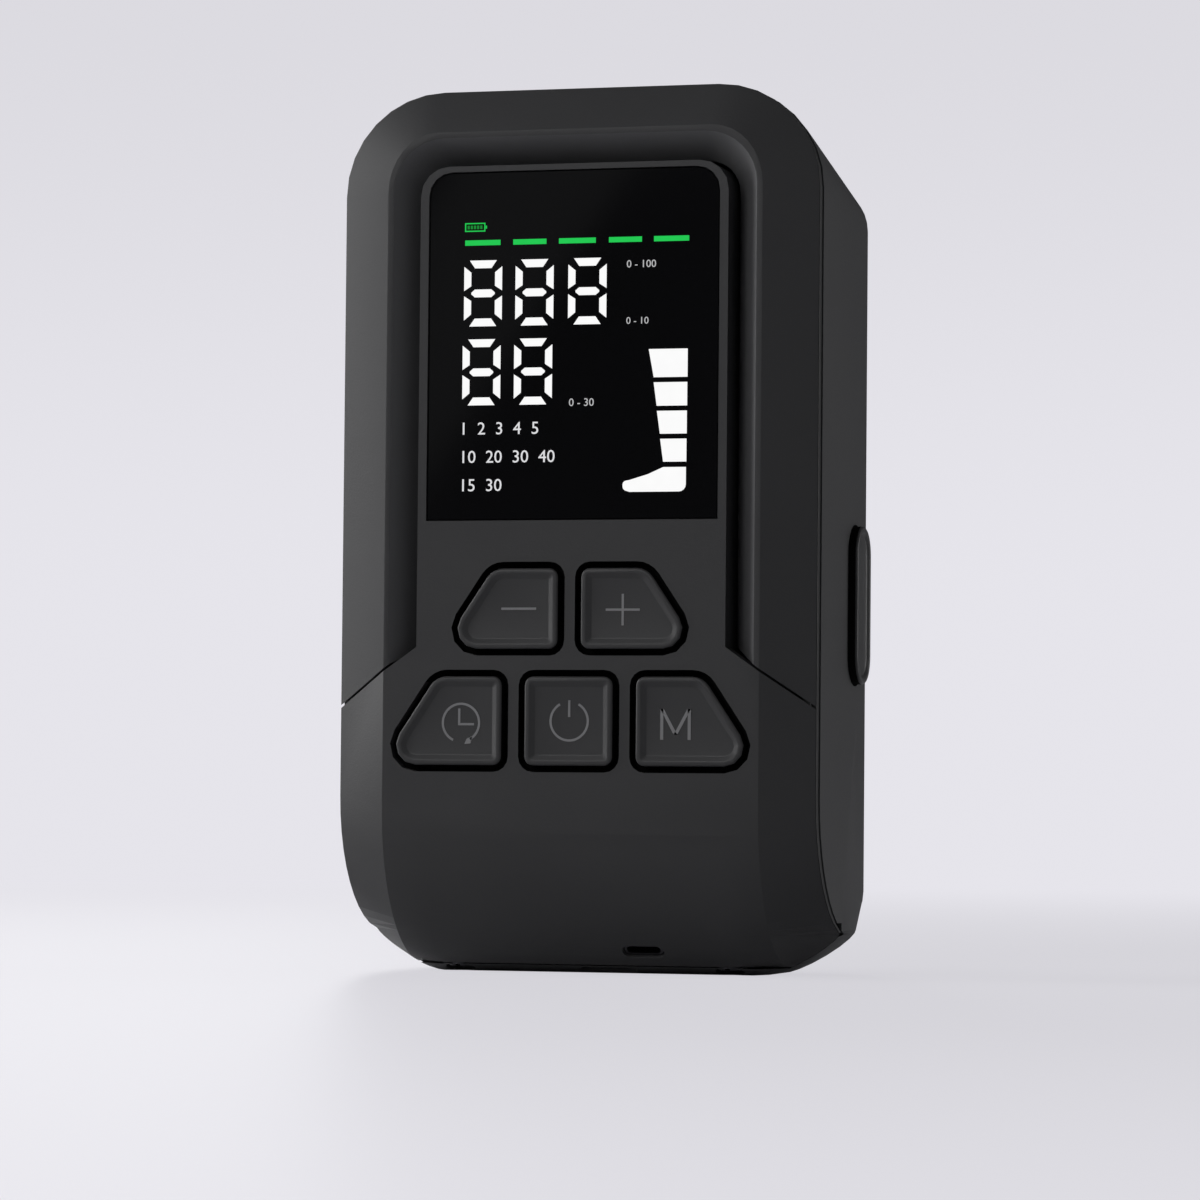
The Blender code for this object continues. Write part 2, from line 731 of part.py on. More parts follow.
def slope_block(grow):
    """The funnel that the bezel's inner slope bounds, or the same grown by a wall."""
    half_ridge = HALF_WIDTH - RIDGE_INSET - RIDGE_WIDTH
    top_ridge = HEIGHT - RIDGE_TOP_INSET - RIDGE_WIDTH
    length = math.hypot(SLOPE_WIDTH, SLOPE_DEPTH)
    out = grow * length / SLOPE_DEPTH
    fall = SLOPE_WIDTH / SLOPE_DEPTH
    start = grow if grow else 0
    end = SLOPE_DEPTH + (FOOT_RIM if grow else 0)
    rings = []

    def ring(depth, at_depth):
        half = half_ridge + out - fall * at_depth
        top = top_ridge + out - SLOPE_TOP_DROP / SLOPE_DEPTH * at_depth
        share = at_depth / SLOPE_DEPTH
        radius = SLOPE_RADIUS + (FOOT_RADIUS - SLOPE_RADIUS) * share + out
        outline = rectangle(half, PARTING_OUTER_Z, top, radius, 0, 0, CORNER_STEPS)
        rings.append([at(x, depth, z) for x, z in outline])

    if not grow:
        ring(-OVERRUN, 0)
    ring(start, start)
    ring(end, end)
    if not grow:
        ring(SLOPE_DEPTH + FOOT_RIM + OVERRUN, SLOPE_DEPTH)
    return loft(rings)


def housing_form(inset):
    """The rear housing's outside, or the hollow inside it."""
    start = FLANK_DEPTH + SEAM if not inset else 0
    rear = DEPTH - inset
    round_off = REAR_ROUNDING - inset if inset else REAR_ROUNDING
    depths = [start, TAPER_START_DEPTH, BAND_START_DEPTH, FLAT_START_DEPTH, CORNER_CUT_END]
    depths += [FLAT_END_DEPTH, TAPER_END_DEPTH]
    stations = [(depth, inset) for depth in depths]
    for i in range(1, SMALL_STEPS + 1):
        a = math.pi / 2 * i / SMALL_STEPS
        ahead = (rear - TAPER_END_DEPTH) * math.sin(a)
        stations.append((TAPER_END_DEPTH + ahead, inset + round_off * (1 - math.cos(a))))
    rings = []
    for depth, into in stations:
        share = max(0, min(depth, TAPER_END_DEPTH) - TAPER_START_DEPTH)
        share /= TAPER_END_DEPTH - TAPER_START_DEPTH
        radius = TOP_RADIUS + (TAPER_RADIUS - TOP_RADIUS) * share - inset
        section = min(depth, TAPER_END_DEPTH)
        low = lower_corner(section, into)
        high = top_corner(radius, radius, HALF_WIDTH - into - radius, top_z(section) - into - radius)
        half = low + high[::-1]
        outline = [(-x, z) for x, z in reversed(half)] + half
        rings.append([at(x, depth, z) for x, z in outline])
    return loft(rings)


# Front: bezel, panel, window and keys


def side_screw_places():
    """The rear screws as (x, z, whether it enters the bezel)."""
    places = []
    for side in (-1, 1):
        places.append((side * SCREW_LOW_X, SCREW_LOW_Z, False))
        places.append((side * SCREW_HIGH_X, SCREW_HIGH_Z, True))
    return places


def screw_post(x, z):
    length = TOWER_FRONT_DEPTH - GAP - POST_START
    return rod(at(x, POST_START, z), AXIS_Y, POST_RADIUS, length)


def post_bore(x, z):
    reach = SCREW_SEAT_DEPTH - SCREW_LENGTH - BORE_SPARE
    return rod(at(x, reach, z), AXIS_Y, SCREW_RADIUS + GAP, TOWER_FRONT_DEPTH - reach, FINE_STEPS)


def make_bezel():
    bezel = front_block(0, 0, CREASE_Z)
    keep(bezel, slanted_region(True, SEAM / 2))
    hollow = front_block(WALL, HOLLOW_RUN, CREASE_Z + WALL)
    keep(hollow, slanted_region(True, SEAM / 2 + WALL))
    cut(bezel, hollow)
    funnel_wall = slope_block(WALL)
    keep(funnel_wall, slanted_region(True, SEAM / 2))
    join(bezel, funnel_wall)
    posts = [(x, z) for x, z, on_bezel in side_screw_places() if on_bezel]
    join(bezel, *[screw_post(x, z) for x, z in posts])
    cut(bezel, slope_block(0), *[post_bore(x, z) for x, z in posts])
    return bezel


def offset(corners, distance):
    """The corners of a convex outline, run anticlockwise, with each side moved out."""
    moved = []
    count = len(corners)
    for i in range(count):
        here = Vector(corners[i])
        before = (here - Vector(corners[i - 1])).normalized()
        after = (Vector(corners[(i + 1) % count]) - here).normalized()
        out = Vector((before.y + after.y, -before.x - after.x))
        moved.append(tuple(here + out * distance / (1 + before.dot(after))))
    return moved


def key_shape(row, side):
    """The corners of a key and their radii. Side is -1, 0 or 1 for left, middle and right."""
    if side == 0:
        corners = [
            (-POWER_HALF_WIDTH, ROW2_BASE),
            (POWER_HALF_WIDTH, ROW2_BASE),
            (POWER_HALF_WIDTH, ROW2_TOP),
            (-POWER_HALF_WIDTH, ROW2_TOP),
        ]
        return corners, [KEY_INNER_RADIUS] * len(corners)
    if row == 1:
        inner, shoulder, outer, base, top = ROW1_INNER, ROW1_SHOULDER, ROW1_OUTER, ROW1_BASE, ROW1_TOP
    else:
        inner, shoulder, outer, base, top = ROW2_INNER, ROW2_SHOULDER, ROW2_OUTER, ROW2_BASE, ROW2_TOP
    corners = [(inner, base), (outer, base), (shoulder, top), (inner, top)]
    radii = [KEY_INNER_RADIUS, KEY_SIDE_RADIUS, KEY_TOP_RADIUS, KEY_INNER_RADIUS]
    if side < 0:
        corners = [(-x, z) for x, z in reversed(corners)]
        radii = radii[::-1]
    return corners, radii


def key_outline(row, side, grow):
    corners, radii = key_shape(row, side)
    radii = [max(radius + grow, KEY_EDGE) for radius in radii]
    return rounded(offset(corners, grow), radii)


KEYS = {
    "key_minus": (1, -1, -MINUS_SYMBOL_X),
    "key_plus": (1, 1, MINUS_SYMBOL_X),
    "key_timer": (2, -1, -MODE_SYMBOL_X),
    "key_power": (2, 0, 0),
    "key_mode": (2, 1, MODE_SYMBOL_X),
}


def row_middle(row):
    return (ROW1_BASE + ROW1_TOP) / 2 if row == 1 else (ROW2_BASE + ROW2_TOP) / 2


def make_key(row, side, centre):
    """A key with its retaining flange, thin rim, inner bevel and dished middle."""
    flange = WALL + GAP
    back = flange + KEY_FLANGE_THICKNESS
    sections = [
        (back, KEY_FLANGE),
        (flange, KEY_FLANGE),
        (flange, 0),
        (KEY_EDGE - KEY_PROUD, 0),
        (-KEY_PROUD, -KEY_EDGE),
        (-KEY_PROUD, -KEY_EDGE - KEY_RIM),
        (KEY_DISH - KEY_PROUD, -KEY_EDGE - KEY_RIM - KEY_BEVEL),
    ]
    rings = []
    for depth, grow in sections:
        rings.append([at(x, depth, z) for x, z in key_outline(row, side, grow)])
    key = loft(rings)
    tip = MEMBRANE_DEPTH - GAP - KEY_TRAVEL
    stem = rod(at(centre, flange, row_middle(row)), AXIS_Y, KEY_STEM_RADIUS, tip - flange, FINE_STEPS)
    return join(key, stem)


def chin_frame():
    """The middle of the charging socket on the chin, its way in and its upward direction."""
    step = GAP
    along = Vector((0, chin(PORT_Z + step) - chin(PORT_Z - step), 2 * step)).normalized()
    inward = Vector((0, along.z, -along.y))
    return at(PORT_X, chin(PORT_Z), PORT_Z), inward, along


def slot_outline(width, height, steps=SMALL_STEPS):
    """A slot with round ends, centred on zero."""
    radius = height / 2 - GAP / 2
    signs = ((-1, -1), (1, -1), (1, 1), (-1, 1))
    corners = [(x * width / 2, z * height / 2) for x, z in signs]
    return rounded(corners, [radius] * len(corners), steps)


def leaning(outline, origin, right, up, way, reaches):
    """A solid of a 2D outline laid in the right, up plane and carried along way."""
    rings = []
    for reach in reaches:
        rings.append([origin + right * u + up * v + way * reach for u, v in outline])
    return loft(rings)


def base_screw_boss(x):
    boss = rod(at(x, BASE_SCREW_DEPTH, CREASE_Z), AXIS_Z, POST_RADIUS, BASE_BOSS_HEIGHT)
    return cut(boss, behind_parting(0, -GAP))


def make_front_panel():
    panel = front_block(0, 0, CREASE_Z)
    keep(panel, slanted_region(False, -SEAM / 2))
    cut(panel, under_panel())
    column_base = PARTING_INNER_Z - WALL
    column = rectangle(PANEL_HALF_WIDTH, column_base, PANEL_TOP, PANEL_RADIUS, 0)
    join(panel, plate(column, 0, COLUMN_DEPTH))
    hollow = front_block(WALL, HOLLOW_RUN, CREASE_Z + WALL)
    keep(hollow, slanted_region(False, -SEAM / 2 - WALL))
    inner_half = PANEL_HALF_WIDTH - COLUMN_WALL
    ledge_base = WINDOW_BASE - LEDGE_WIDTH
    pocket_depth = WINDOW_DROP + WINDOW_THICKNESS + GAP
    ledge_back = pocket_depth + LEDGE_THICKNESS
    lower = rectangle(inner_half, column_base - OVERRUN, ledge_base + OVERRUN)
    upper = rectangle(inner_half, ledge_base, PANEL_TOP - COLUMN_WALL, PANEL_RADIUS - COLUMN_WALL)
    pocket = rectangle(
        WINDOW_HALF_WIDTH + WINDOW_PLAY,
        WINDOW_BASE - WINDOW_PLAY,
        WINDOW_TOP + WINDOW_PLAY,
        WINDOW_RADIUS + WINDOW_PLAY,
    )
    aperture = rectangle(WINDOW_HALF_WIDTH - LEDGE_WIDTH, WINDOW_BASE + LEDGE_WIDTH, WINDOW_TOP - LEDGE_WIDTH)
    cut(panel, hollow)
    cut(panel, plate(upper, ledge_back, COLUMN_DEPTH + OVERRUN))
    cut(panel, plate(lower, WALL, COLUMN_DEPTH + OVERRUN))
    cut(panel, plate(pocket, -OVERRUN, pocket_depth))
    cut(panel, plate(aperture, 0, ledge_back + OVERRUN))
    for row, side, _ in KEYS.values():
        cut(panel, plate(key_outline(row, side, KEY_GAP), -OVERRUN, WALL + OVERRUN))
    posts = [(x, z) for x, z, on_bezel in side_screw_places() if not on_bezel]
    join(panel, *[screw_post(x, z) for x, z in posts])
    cut(panel, *[post_bore(x, z) for x, z in posts])
    for side in (-1, 1):
        join(panel, base_screw_boss(side * BASE_SCREW_X))
        foot = at(side * BASE_SCREW_X, BASE_SCREW_DEPTH, 0)
        cut(panel, rod(foot, AXIS_Z, SCREW_RADIUS + GAP, BASE_SCREW_LENGTH + BASE_BORE_SPARE, FINE_STEPS))
    origin, inward, along = chin_frame()
    outline = slot_outline(PORT_WIDTH, PORT_HEIGHT)
    cut(panel, leaning(outline, origin, AXIS_X, along, inward, (-OVERRUN, PORT_LENGTH)))
    cut(panel, inlet_cutter())
    return panel


def inlet_cutter():
    """The slot through the base band and the lip of the front panel behind it."""
    outline = slot_outline(INLET_WIDTH, INLET_HEIGHT)
    middle = at(INLET_X, INLET_DEPTH, 0)
    return leaning(outline, middle, AXIS_X, AXIS_Y, AXIS_Z, (-OVERRUN, CREASE_Z + WALL + OVERRUN))


def make_window():
    outline = rectangle(WINDOW_HALF_WIDTH, WINDOW_BASE, WINDOW_TOP, WINDOW_RADIUS, 0)
    return plate(outline, WINDOW_DROP, WINDOW_DROP + WINDOW_THICKNESS)


# Sides and rear


def make_trim_band():
    """An inverted U in the parting: an outer band and an inner tongue that closes the groove."""
    band_start = BAND_GROOVE
    band_end = BAND_GROOVE + BAND_WIDTH
    section = [
        (BAND_INSET, band_start),
        (BAND_INSET, band_end),
        (TONGUE_END_INSET, band_end),
        (TONGUE_END_INSET, GAP),
        (TONGUE_INSET, GAP),
        (TONGUE_INSET, band_start),
    ]
    levels = side_levels(CREASE_Z)[:SWEEP_STEPS]
    levels.append(SWEEP_END_Z + GAP)
    middle_x = HALF_WIDTH - TOP_RADIUS
    middle_z = HEIGHT - TOP_RADIUS
    half = []
    for z in reversed(levels):
        depth = parting(z)
        half.append([(side_x(z, depth, inset), depth + back, z) for inset, back in section])
    for i in range(CORNER_STEPS + 1):
        a = math.pi / 2 * i / CORNER_STEPS
        ring = []
        for inset, back in section:
            radius = TOP_RADIUS - inset
            x = middle_x + radius * math.cos(a)
            ring.append((x, FLANK_DEPTH + back, middle_z + radius * math.sin(a)))
        half.append(ring)
    rings = [[at(x, depth, z) for x, depth, z in ring] for ring in half]
    rings += [[at(-x, depth, z) for x, depth, z in ring] for ring in reversed(half)]
    return loft(rings)


def socket_outline(grow):
    half_width = SOCKET_HALF_WIDTH + grow
    half_height = SOCKET_HALF_HEIGHT + grow
    radius = half_height - GAP
    return rectangle(half_width, SOCKET_Z - half_height, SOCKET_Z + half_height, radius, radius)


def stadium(grow):
    """The side button's outline in depth and z."""
    half_width = BUTTON_WIDTH / 2 + grow
    half_length = BUTTON_LENGTH / 2 + grow
    left = BUTTON_DEPTH - half_width
    right = BUTTON_DEPTH + half_width
    low = BUTTON_Z - half_length
    high = BUTTON_Z + half_length
    radius = half_width - GAP
    return rounded([(left, low), (right, low), (right, high), (left, high)], [radius] * 4, CORNER_STEPS)


def make_housing():
    housing = housing_form(0)
    keep(housing, behind_parting(BAND_GROOVE + BAND_WIDTH + SEAM, SEAM))
    cut(housing, *corner_rooms())
    cut(housing, housing_form(WALL))
    inner_rear = DEPTH - WALL / 2
    for x, z, _ in side_screw_places():
        tower = rod(at(x, TOWER_FRONT_DEPTH, z), AXIS_Y, TOWER_RADIUS, inner_rear - TOWER_FRONT_DEPTH)
        join(housing, tower)
        seat = SCREW_SEAT_DEPTH - GAP
        cut(housing, rod(at(x, seat, z), AXIS_Y, SCREW_HEAD_RADIUS + GAP, DEPTH, FINE_STEPS))
        start = TOWER_FRONT_DEPTH - OVERRUN
        cut(housing, rod(at(x, start, z), AXIS_Y, SCREW_BORE, seat - start + GAP, FINE_STEPS))
    cut(housing, plate(socket_outline(GAP), TAPER_END_DEPTH, DEPTH + OVERRUN))
    cut(housing, side_plate(stadium(BUTTON_PLAY), HALF_WIDTH - WALL - OVERRUN, HALF_WIDTH + OVERRUN))
    cut(housing, inlet_cutter())
    for side in (-1, 1):
        foot = at(side * BASE_SCREW_X, BASE_SCREW_DEPTH, -OVERRUN)
        head_seat = BASE_SCREW_RECESS + BASE_SCREW_HEAD + GAP
        cut(housing, rod(foot, AXIS_Z, BASE_SCREW_HEAD_RADIUS + GAP, OVERRUN + head_seat, ROUND_STEPS))
        cut(housing, rod(foot, AXIS_Z, SCREW_RADIUS + GAP, OVERRUN + CREASE_Z + WALL + OVERRUN, FINE_STEPS))
    return housing


def make_side_button():
    inner = HALF_WIDTH - WALL - GAP
    face = HALF_WIDTH + BUTTON_PROUD
    sections = [
        (inner - BUTTON_FLANGE, BUTTON_FLANGE),
        (inner, BUTTON_FLANGE),
        (inner, 0),
        (face - BUTTON_EDGE, 0),
        (face, -BUTTON_EDGE),
        (face, -BUTTON_EDGE - BUTTON_RIM),
        (face - BUTTON_DISH, -BUTTON_EDGE - BUTTON_RIM - BUTTON_DISH),
    ]
    button = loft([[at(x, depth, z) for depth, z in stadium(grow)] for x, grow in sections])
    start = inner - BUTTON_FLANGE - BUTTON_STEM_LENGTH
    stem = rod(at(start, BUTTON_DEPTH, BUTTON_Z), AXIS_X, BUTTON_STEM_RADIUS, inner - start, FINE_STEPS)
    return join(button, stem)


def side_switch_face():
    return HALF_WIDTH - WALL - GAP - BUTTON_FLANGE - BUTTON_STEM_LENGTH - BUTTON_TRAVEL - GAP


def make_side_switch():
    face = side_switch_face()
    half = SIDE_SWITCH_HEIGHT / 2
    low = (face - SIDE_SWITCH_THICKNESS, BUTTON_DEPTH - half, BUTTON_Z - half)
    high = (face, BUTTON_DEPTH + half, BUTTON_Z + half)
    return box(low, high)


def make_side_board():
    face = side_switch_face() - SIDE_SWITCH_THICKNESS - GAP
    half = SIDE_SWITCH_HEIGHT
    low = (face - BOARD_THICKNESS, BUTTON_DEPTH - SIDE_SWITCH_HEIGHT / 2, BUTTON_Z - half)
    return box(low, (face, DEPTH - WALL - GAP, BUTTON_Z + half))


def make_screw(head_radius, head_height, length):
    """A pan-head screw along +Z with its tip at the top and a slot in its head."""
    edge = head_height / 2
    profile = [(head_radius - edge, 0), (head_radius, edge), (head_radius, head_height)]
    profile += [(SCREW_RADIUS, head_height), (SCREW_RADIUS, head_height + length - SCREW_RADIUS)]
    profile += [(SCREW_RADIUS / 2, head_height + length)]
    screw = turned(profile, Vector(), AXIS_Z, FINE_STEPS)
    slot = bmesh.new()
    bmesh.ops.create_cube(slot, size=1)
    slot.transform(Matrix.Diagonal((SCREW_SLOT, 2 * head_radius + OVERRUN, head_height, 1)))
    return cut(screw, object_from(slot, "slot"))


def place_screw(screw, head_at, way):
    """Moves a screw so that its head's outer face is at head_at and its tip points along way."""
    turn = way.to_track_quat("Z", "Y").to_matrix().to_4x4()
    screw.data.transform(Matrix.Translation(head_at) @ turn)
    return screw


# Display and keypad electronics


def frame_corner():
    return PANEL_RADIUS - COLUMN_WALL - FRAME_WALL


def make_display_module():
    outline = rectangle(DISPLAY_HALF_WIDTH, DISPLAY_BASE, DISPLAY_TOP, frame_corner() - GAP)
    return plate(outline, display_depth(), display_depth() + DISPLAY_THICKNESS)


def display_depth():
    return WINDOW_DROP + WINDOW_THICKNESS + LEDGE_THICKNESS + 2 * GAP


def make_backlight():
    start = display_depth() + DISPLAY_THICKNESS + GAP
    outline = rectangle(DISPLAY_HALF_WIDTH, DISPLAY_BASE, DISPLAY_TOP, frame_corner() - GAP)
    return plate(outline, start, start + BACKLIGHT_THICKNESS)


def make_display_frame():
    start = display_depth()
    floor = start + DISPLAY_THICKNESS + BACKLIGHT_THICKNESS + 2 * GAP
    inner = rectangle(DISPLAY_HALF_WIDTH + GAP, DISPLAY_BASE - GAP, DISPLAY_TOP + GAP, frame_corner())
    grow = GAP + FRAME_WALL
    corner = frame_corner() + FRAME_WALL
    outer = rectangle(DISPLAY_HALF_WIDTH + grow, DISPLAY_BASE - grow, DISPLAY_TOP + grow, corner)
    frame = plate(outer, start, floor + FRAME_FLOOR)
    return cut(frame, plate(inner, start - OVERRUN, floor))


def make_membrane():
    """A plain rubber sheet between the keys' stems and the switches."""
    outline = rectangle(MEMBRANE_HALF_WIDTH, MEMBRANE_BASE, MEMBRANE_TOP, BOARD_CORNER, BOARD_CORNER)
    return plate(outline, MEMBRANE_DEPTH, MEMBRANE_DEPTH + MEMBRANE_THICKNESS)


def make_key_switch(row, centre):
    """A tactile switch: a square body on the board and a round cap towards the key."""
    z = row_middle(row)
    half = SWITCH_SIZE / 2
    cap = MEMBRANE_DEPTH + MEMBRANE_THICKNESS + GAP
    low = (centre - half, cap + SWITCH_CAP_HEIGHT, z - half)
    body = box(low, (centre + half, BOARD_DEPTH - GAP, z + half))
    overlap = SWITCH_CAP_HEIGHT * 2
    return join(body, rod(at(centre, cap, z), AXIS_Y, SWITCH_CAP_RADIUS, overlap, FINE_STEPS))


def make_main_board():
    outline = rectangle(BOARD_HALF_WIDTH, BOARD_BASE, BOARD_TOP, BOARD_CORNER, BOARD_CORNER)
    return plate(outline, BOARD_DEPTH, BOARD_DEPTH + BOARD_THICKNESS)


def board_back():
    return BOARD_DEPTH + BOARD_THICKNESS + GAP


def make_chip():
    half = CHIP_SIZE / 2
    start = board_back()
    return box((-half, start, CHIP_Z - half), (half, start + CHIP_THICKNESS, CHIP_Z + half))


def make_buzzer():
    """A round buzzer with its sound hole facing the rear."""
    profile = [
        (BUZZER_RADIUS, 0),
        (BUZZER_RADIUS, BUZZER_HEIGHT),
        (BUZZER_HOLE, BUZZER_HEIGHT),
        (BUZZER_HOLE, BUZZER_HEIGHT / 2),
    ]
    return turned(profile, at(BUZZER_X, board_back(), CHIP_Z), AXIS_Y)


def make_sensor():
    half = SENSOR_SIZE / 2
    start = board_back()
    high = (SENSOR_X + half, start + SENSOR_THICKNESS, SENSOR_Z + half)
    sensor = box((SENSOR_X - half, start, SENSOR_Z - half), high)
    low = at(SENSOR_X, sensor_depth(), SENSOR_Z - half - SENSOR_PORT_LENGTH)
    return join(sensor, rod(low, AXIS_Z, SENSOR_PORT_RADIUS, SENSOR_PORT_LENGTH + half, FINE_STEPS))


def sensor_depth():
    return board_back() + SENSOR_THICKNESS / 2


# Charging socket


def make_charge_port():
    """A metal shell open to the chin, leaning as the chin does there."""
    origin, inward, along = chin_frame()
    outer = slot_outline(PORT_WIDTH - 2 * GAP, PORT_HEIGHT - 2 * GAP)
    wall = PORT_SHELL_WALL + GAP
    inner = slot_outline(PORT_WIDTH - 2 * wall, PORT_HEIGHT - 2 * wall)
    shell = leaning(outer, origin, AXIS_X, along, inward, (PORT_RECESS, PORT_LENGTH))
    hollow = leaning(inner, origin, AXIS_X, along, inward, (-OVERRUN, PORT_LENGTH - PORT_SHELL_WALL))
    return cut(shell, hollow)


def make_charge_board():
    origin, inward, along = chin_frame()
    low = PORT_HEIGHT / 2
    half = PORT_BOARD_WIDTH / 2
    high = low + PORT_BOARD_THICKNESS
    outline = [(-half, low), (half, low), (half, high), (-half, high)]
    start = WALL + PORT_RECESS + GAP
    return leaning(outline, origin, AXIS_X, along, inward, (start, start + PORT_BOARD_LENGTH))


def make_filter():
    half = INLET_WIDTH / 2 + FILTER_MARGIN
    base = CREASE_Z + WALL + GAP
    low = (INLET_X - half, INLET_DEPTH - INLET_HEIGHT / 2 - FILTER_LIP, base)
    return box(low, (INLET_X + half, INLET_DEPTH + INLET_HEIGHT / 2 + FILTER_MARGIN, base + FILTER_THICKNESS))


# Battery


def make_cell(side):
    profile = [
        (CELL_RADIUS - CELL_CAP_HEIGHT, 0),
        (CELL_RADIUS, CELL_CAP_HEIGHT),
        (CELL_RADIUS, CELL_LENGTH - CELL_CAP_HEIGHT),
        (CELL_RADIUS - CELL_CAP_HEIGHT, CELL_LENGTH),
        (CELL_CAP_RADIUS, CELL_LENGTH),
        (CELL_CAP_RADIUS, CELL_LENGTH + CELL_CAP_HEIGHT),
    ]
    return turned(profile, at(side * CELL_SPACING / 2, CELL_DEPTH, CELL_BASE), AXIS_Z)


def make_battery_holder():
    """A tray on the rear wall with a shelf under the cells."""
    half = CELL_SPACING / 2 + CELL_RADIUS
    front = CELL_DEPTH + CELL_RADIUS + GAP
    back = DEPTH - WALL - GAP
    shelf = CELL_BASE - GAP
    tray = box((-half, front, shelf - HOLDER_WALL), (half, back, CELL_BASE + CELL_LENGTH))
    return join(tray, box((-half, CELL_DEPTH, shelf - HOLDER_WALL), (half, back - GAP, shelf)))


# Air pump, turning about X


def pump_point(x):
    return at(x, PUMP_DEPTH, PUMP_Z)


def motor_end():
    return MOTOR_END_X + MOTOR_LENGTH


def head_start():
    return motor_end() + GAP


def head_end():
    return head_start() + HEAD_LENGTH


def make_motor():
    """The motor's can: closed at one end, with a seat for the shaft."""
    inside = MOTOR_RADIUS - MOTOR_WALL
    floor = 2 * MOTOR_WALL
    seat = SHAFT_RADIUS + GAP
    profile = [
        (MOTOR_RADIUS - MOTOR_WALL, 0),
        (MOTOR_RADIUS, MOTOR_WALL),
        (MOTOR_RADIUS, MOTOR_LENGTH),
        (inside, MOTOR_LENGTH),
        (inside, floor),
        (seat, floor),
        (seat, MOTOR_WALL),
    ]
    return turned(profile, pump_point(MOTOR_END_X), AXIS_X)


def make_rotor():
    """The wound rotor on its shaft, with the eccentric that tilts the wobble plate."""
    start = MOTOR_END_X + MOTOR_WALL + GAP
    body = MOTOR_END_X + 2 * MOTOR_WALL + ROTOR_PLAY
    end = motor_end() - ROTOR_PLAY
    tip = head_start() + HEAD_WALL + GAP
    profile = [
        (SHAFT_RADIUS, 0),
        (SHAFT_RADIUS, body - start),
        (ROTOR_RADIUS, body - start),
        (ROTOR_RADIUS, end - start),
        (SHAFT_RADIUS, end - start),
        (SHAFT_RADIUS, tip + ECCENTRIC_LENGTH / 2 - start),
    ]
    rotor = turned(profile, pump_point(start), AXIS_X)
    centre = pump_point(tip) + AXIS_Z * ECCENTRIC_OFFSET
    return join(rotor, rod(centre, AXIS_X, ECCENTRIC_RADIUS, ECCENTRIC_LENGTH))


def make_pump_head():
    """A cup on the motor's end, with a hole for the shaft, open towards the diaphragm."""
    inside = HEAD_RADIUS - HEAD_WALL
    hole = SHAFT_RADIUS + GAP
    profile = [
        (hole, 0),
        (HEAD_RADIUS, 0),
        (HEAD_RADIUS, HEAD_LENGTH),
        (inside, HEAD_LENGTH),
        (inside, HEAD_WALL),
        (hole, HEAD_WALL),
    ]
    return turned(profile, pump_point(head_start()), AXIS_X, closed=True)


def wobble_start():
    return head_start() + HEAD_WALL + ECCENTRIC_LENGTH + 2 * GAP


def make_wobble_plate():
    """The tilted plate that works the diaphragm, and the stem that the eccentric leads."""
    profile = [
        (WOBBLE_STEM_RADIUS, 0),
        (WOBBLE_STEM_RADIUS, WOBBLE_STEM),
        (WOBBLE_RADIUS, WOBBLE_STEM),
        (WOBBLE_RADIUS, WOBBLE_STEM + WOBBLE_THICKNESS),
    ]
    plate_obj = turned(profile, Vector(), AXIS_X)
    tilt = Matrix.Rotation(WOBBLE_TILT, 4, "Y")
    place = pump_point(wobble_start() + WOBBLE_STEM_RADIUS * math.sin(WOBBLE_TILT))
    plate_obj.data.transform(Matrix.Translation(place) @ tilt)
    return plate_obj


def make_diaphragm():
    """A rubber disc clamped between head and cover, with a boss that meets the wobble plate."""
    lean = WOBBLE_STEM_RADIUS * math.sin(WOBBLE_TILT)
    boss = wobble_start() + WOBBLE_STEM + WOBBLE_THICKNESS + GAP + 2 * lean
    start = head_end() + GAP
    profile = [
        (WOBBLE_STEM_RADIUS, 0),
        (WOBBLE_STEM_RADIUS, start - boss),
        (HEAD_RADIUS, start - boss),
        (HEAD_RADIUS, start - boss + DIAPHRAGM_THICKNESS),
    ]
    return turned(profile, pump_point(boss), AXIS_X)


def cover_start():
    return head_end() + 2 * GAP + DIAPHRAGM_THICKNESS


def make_head_cover():
    """The cover with its valve chamber and the nipple that the air leaves by."""
    chamber = HEAD_RADIUS - 2 * HEAD_WALL
    profile = [
        (HEAD_RADIUS, 0),
        (HEAD_RADIUS, COVER_LENGTH - HEAD_WALL / 2),
        (HEAD_RADIUS - HEAD_WALL / 2, COVER_LENGTH),
    ]
    cover = turned(profile, pump_point(cover_start()), AXIS_X)
    cut(cover, rod(pump_point(cover_start() - OVERRUN), AXIS_X, chamber, OVERRUN + COVER_LENGTH / 2))
    foot = at(nipple_x(), PUMP_DEPTH, PUMP_Z + chamber / 2)
    join(cover, rod(foot, AXIS_Z, NIPPLE_RADIUS, nipple_top() - foot.z, FINE_STEPS))
    return cut(cover, rod(foot, AXIS_Z, NIPPLE_BORE, nipple_top() - foot.z + OVERRUN, FINE_STEPS))


def nipple_x():
    return cover_start() + COVER_LENGTH / 2


def nipple_top():
    return PUMP_Z + HEAD_RADIUS + NIPPLE_LENGTH


def make_bracket(x, radius):
    """A cradle on the floor of the housing that a round body lies in."""
    half = BRACKET_WIDTH / 2
    floor = WALL + GAP
    low = (x - half, PUMP_DEPTH - BRACKET_FOOT, floor)
    cradle = box(low, (x + half, PUMP_DEPTH + BRACKET_FOOT, PUMP_Z))
    return cut(cradle, rod(pump_point(x - half - OVERRUN), AXIS_X, radius + GAP, BRACKET_WIDTH + 2 * OVERRUN))


# Valves, manifold, tubes and hose socket


def valve_back():
    return board_back() + VALVE_DEPTH


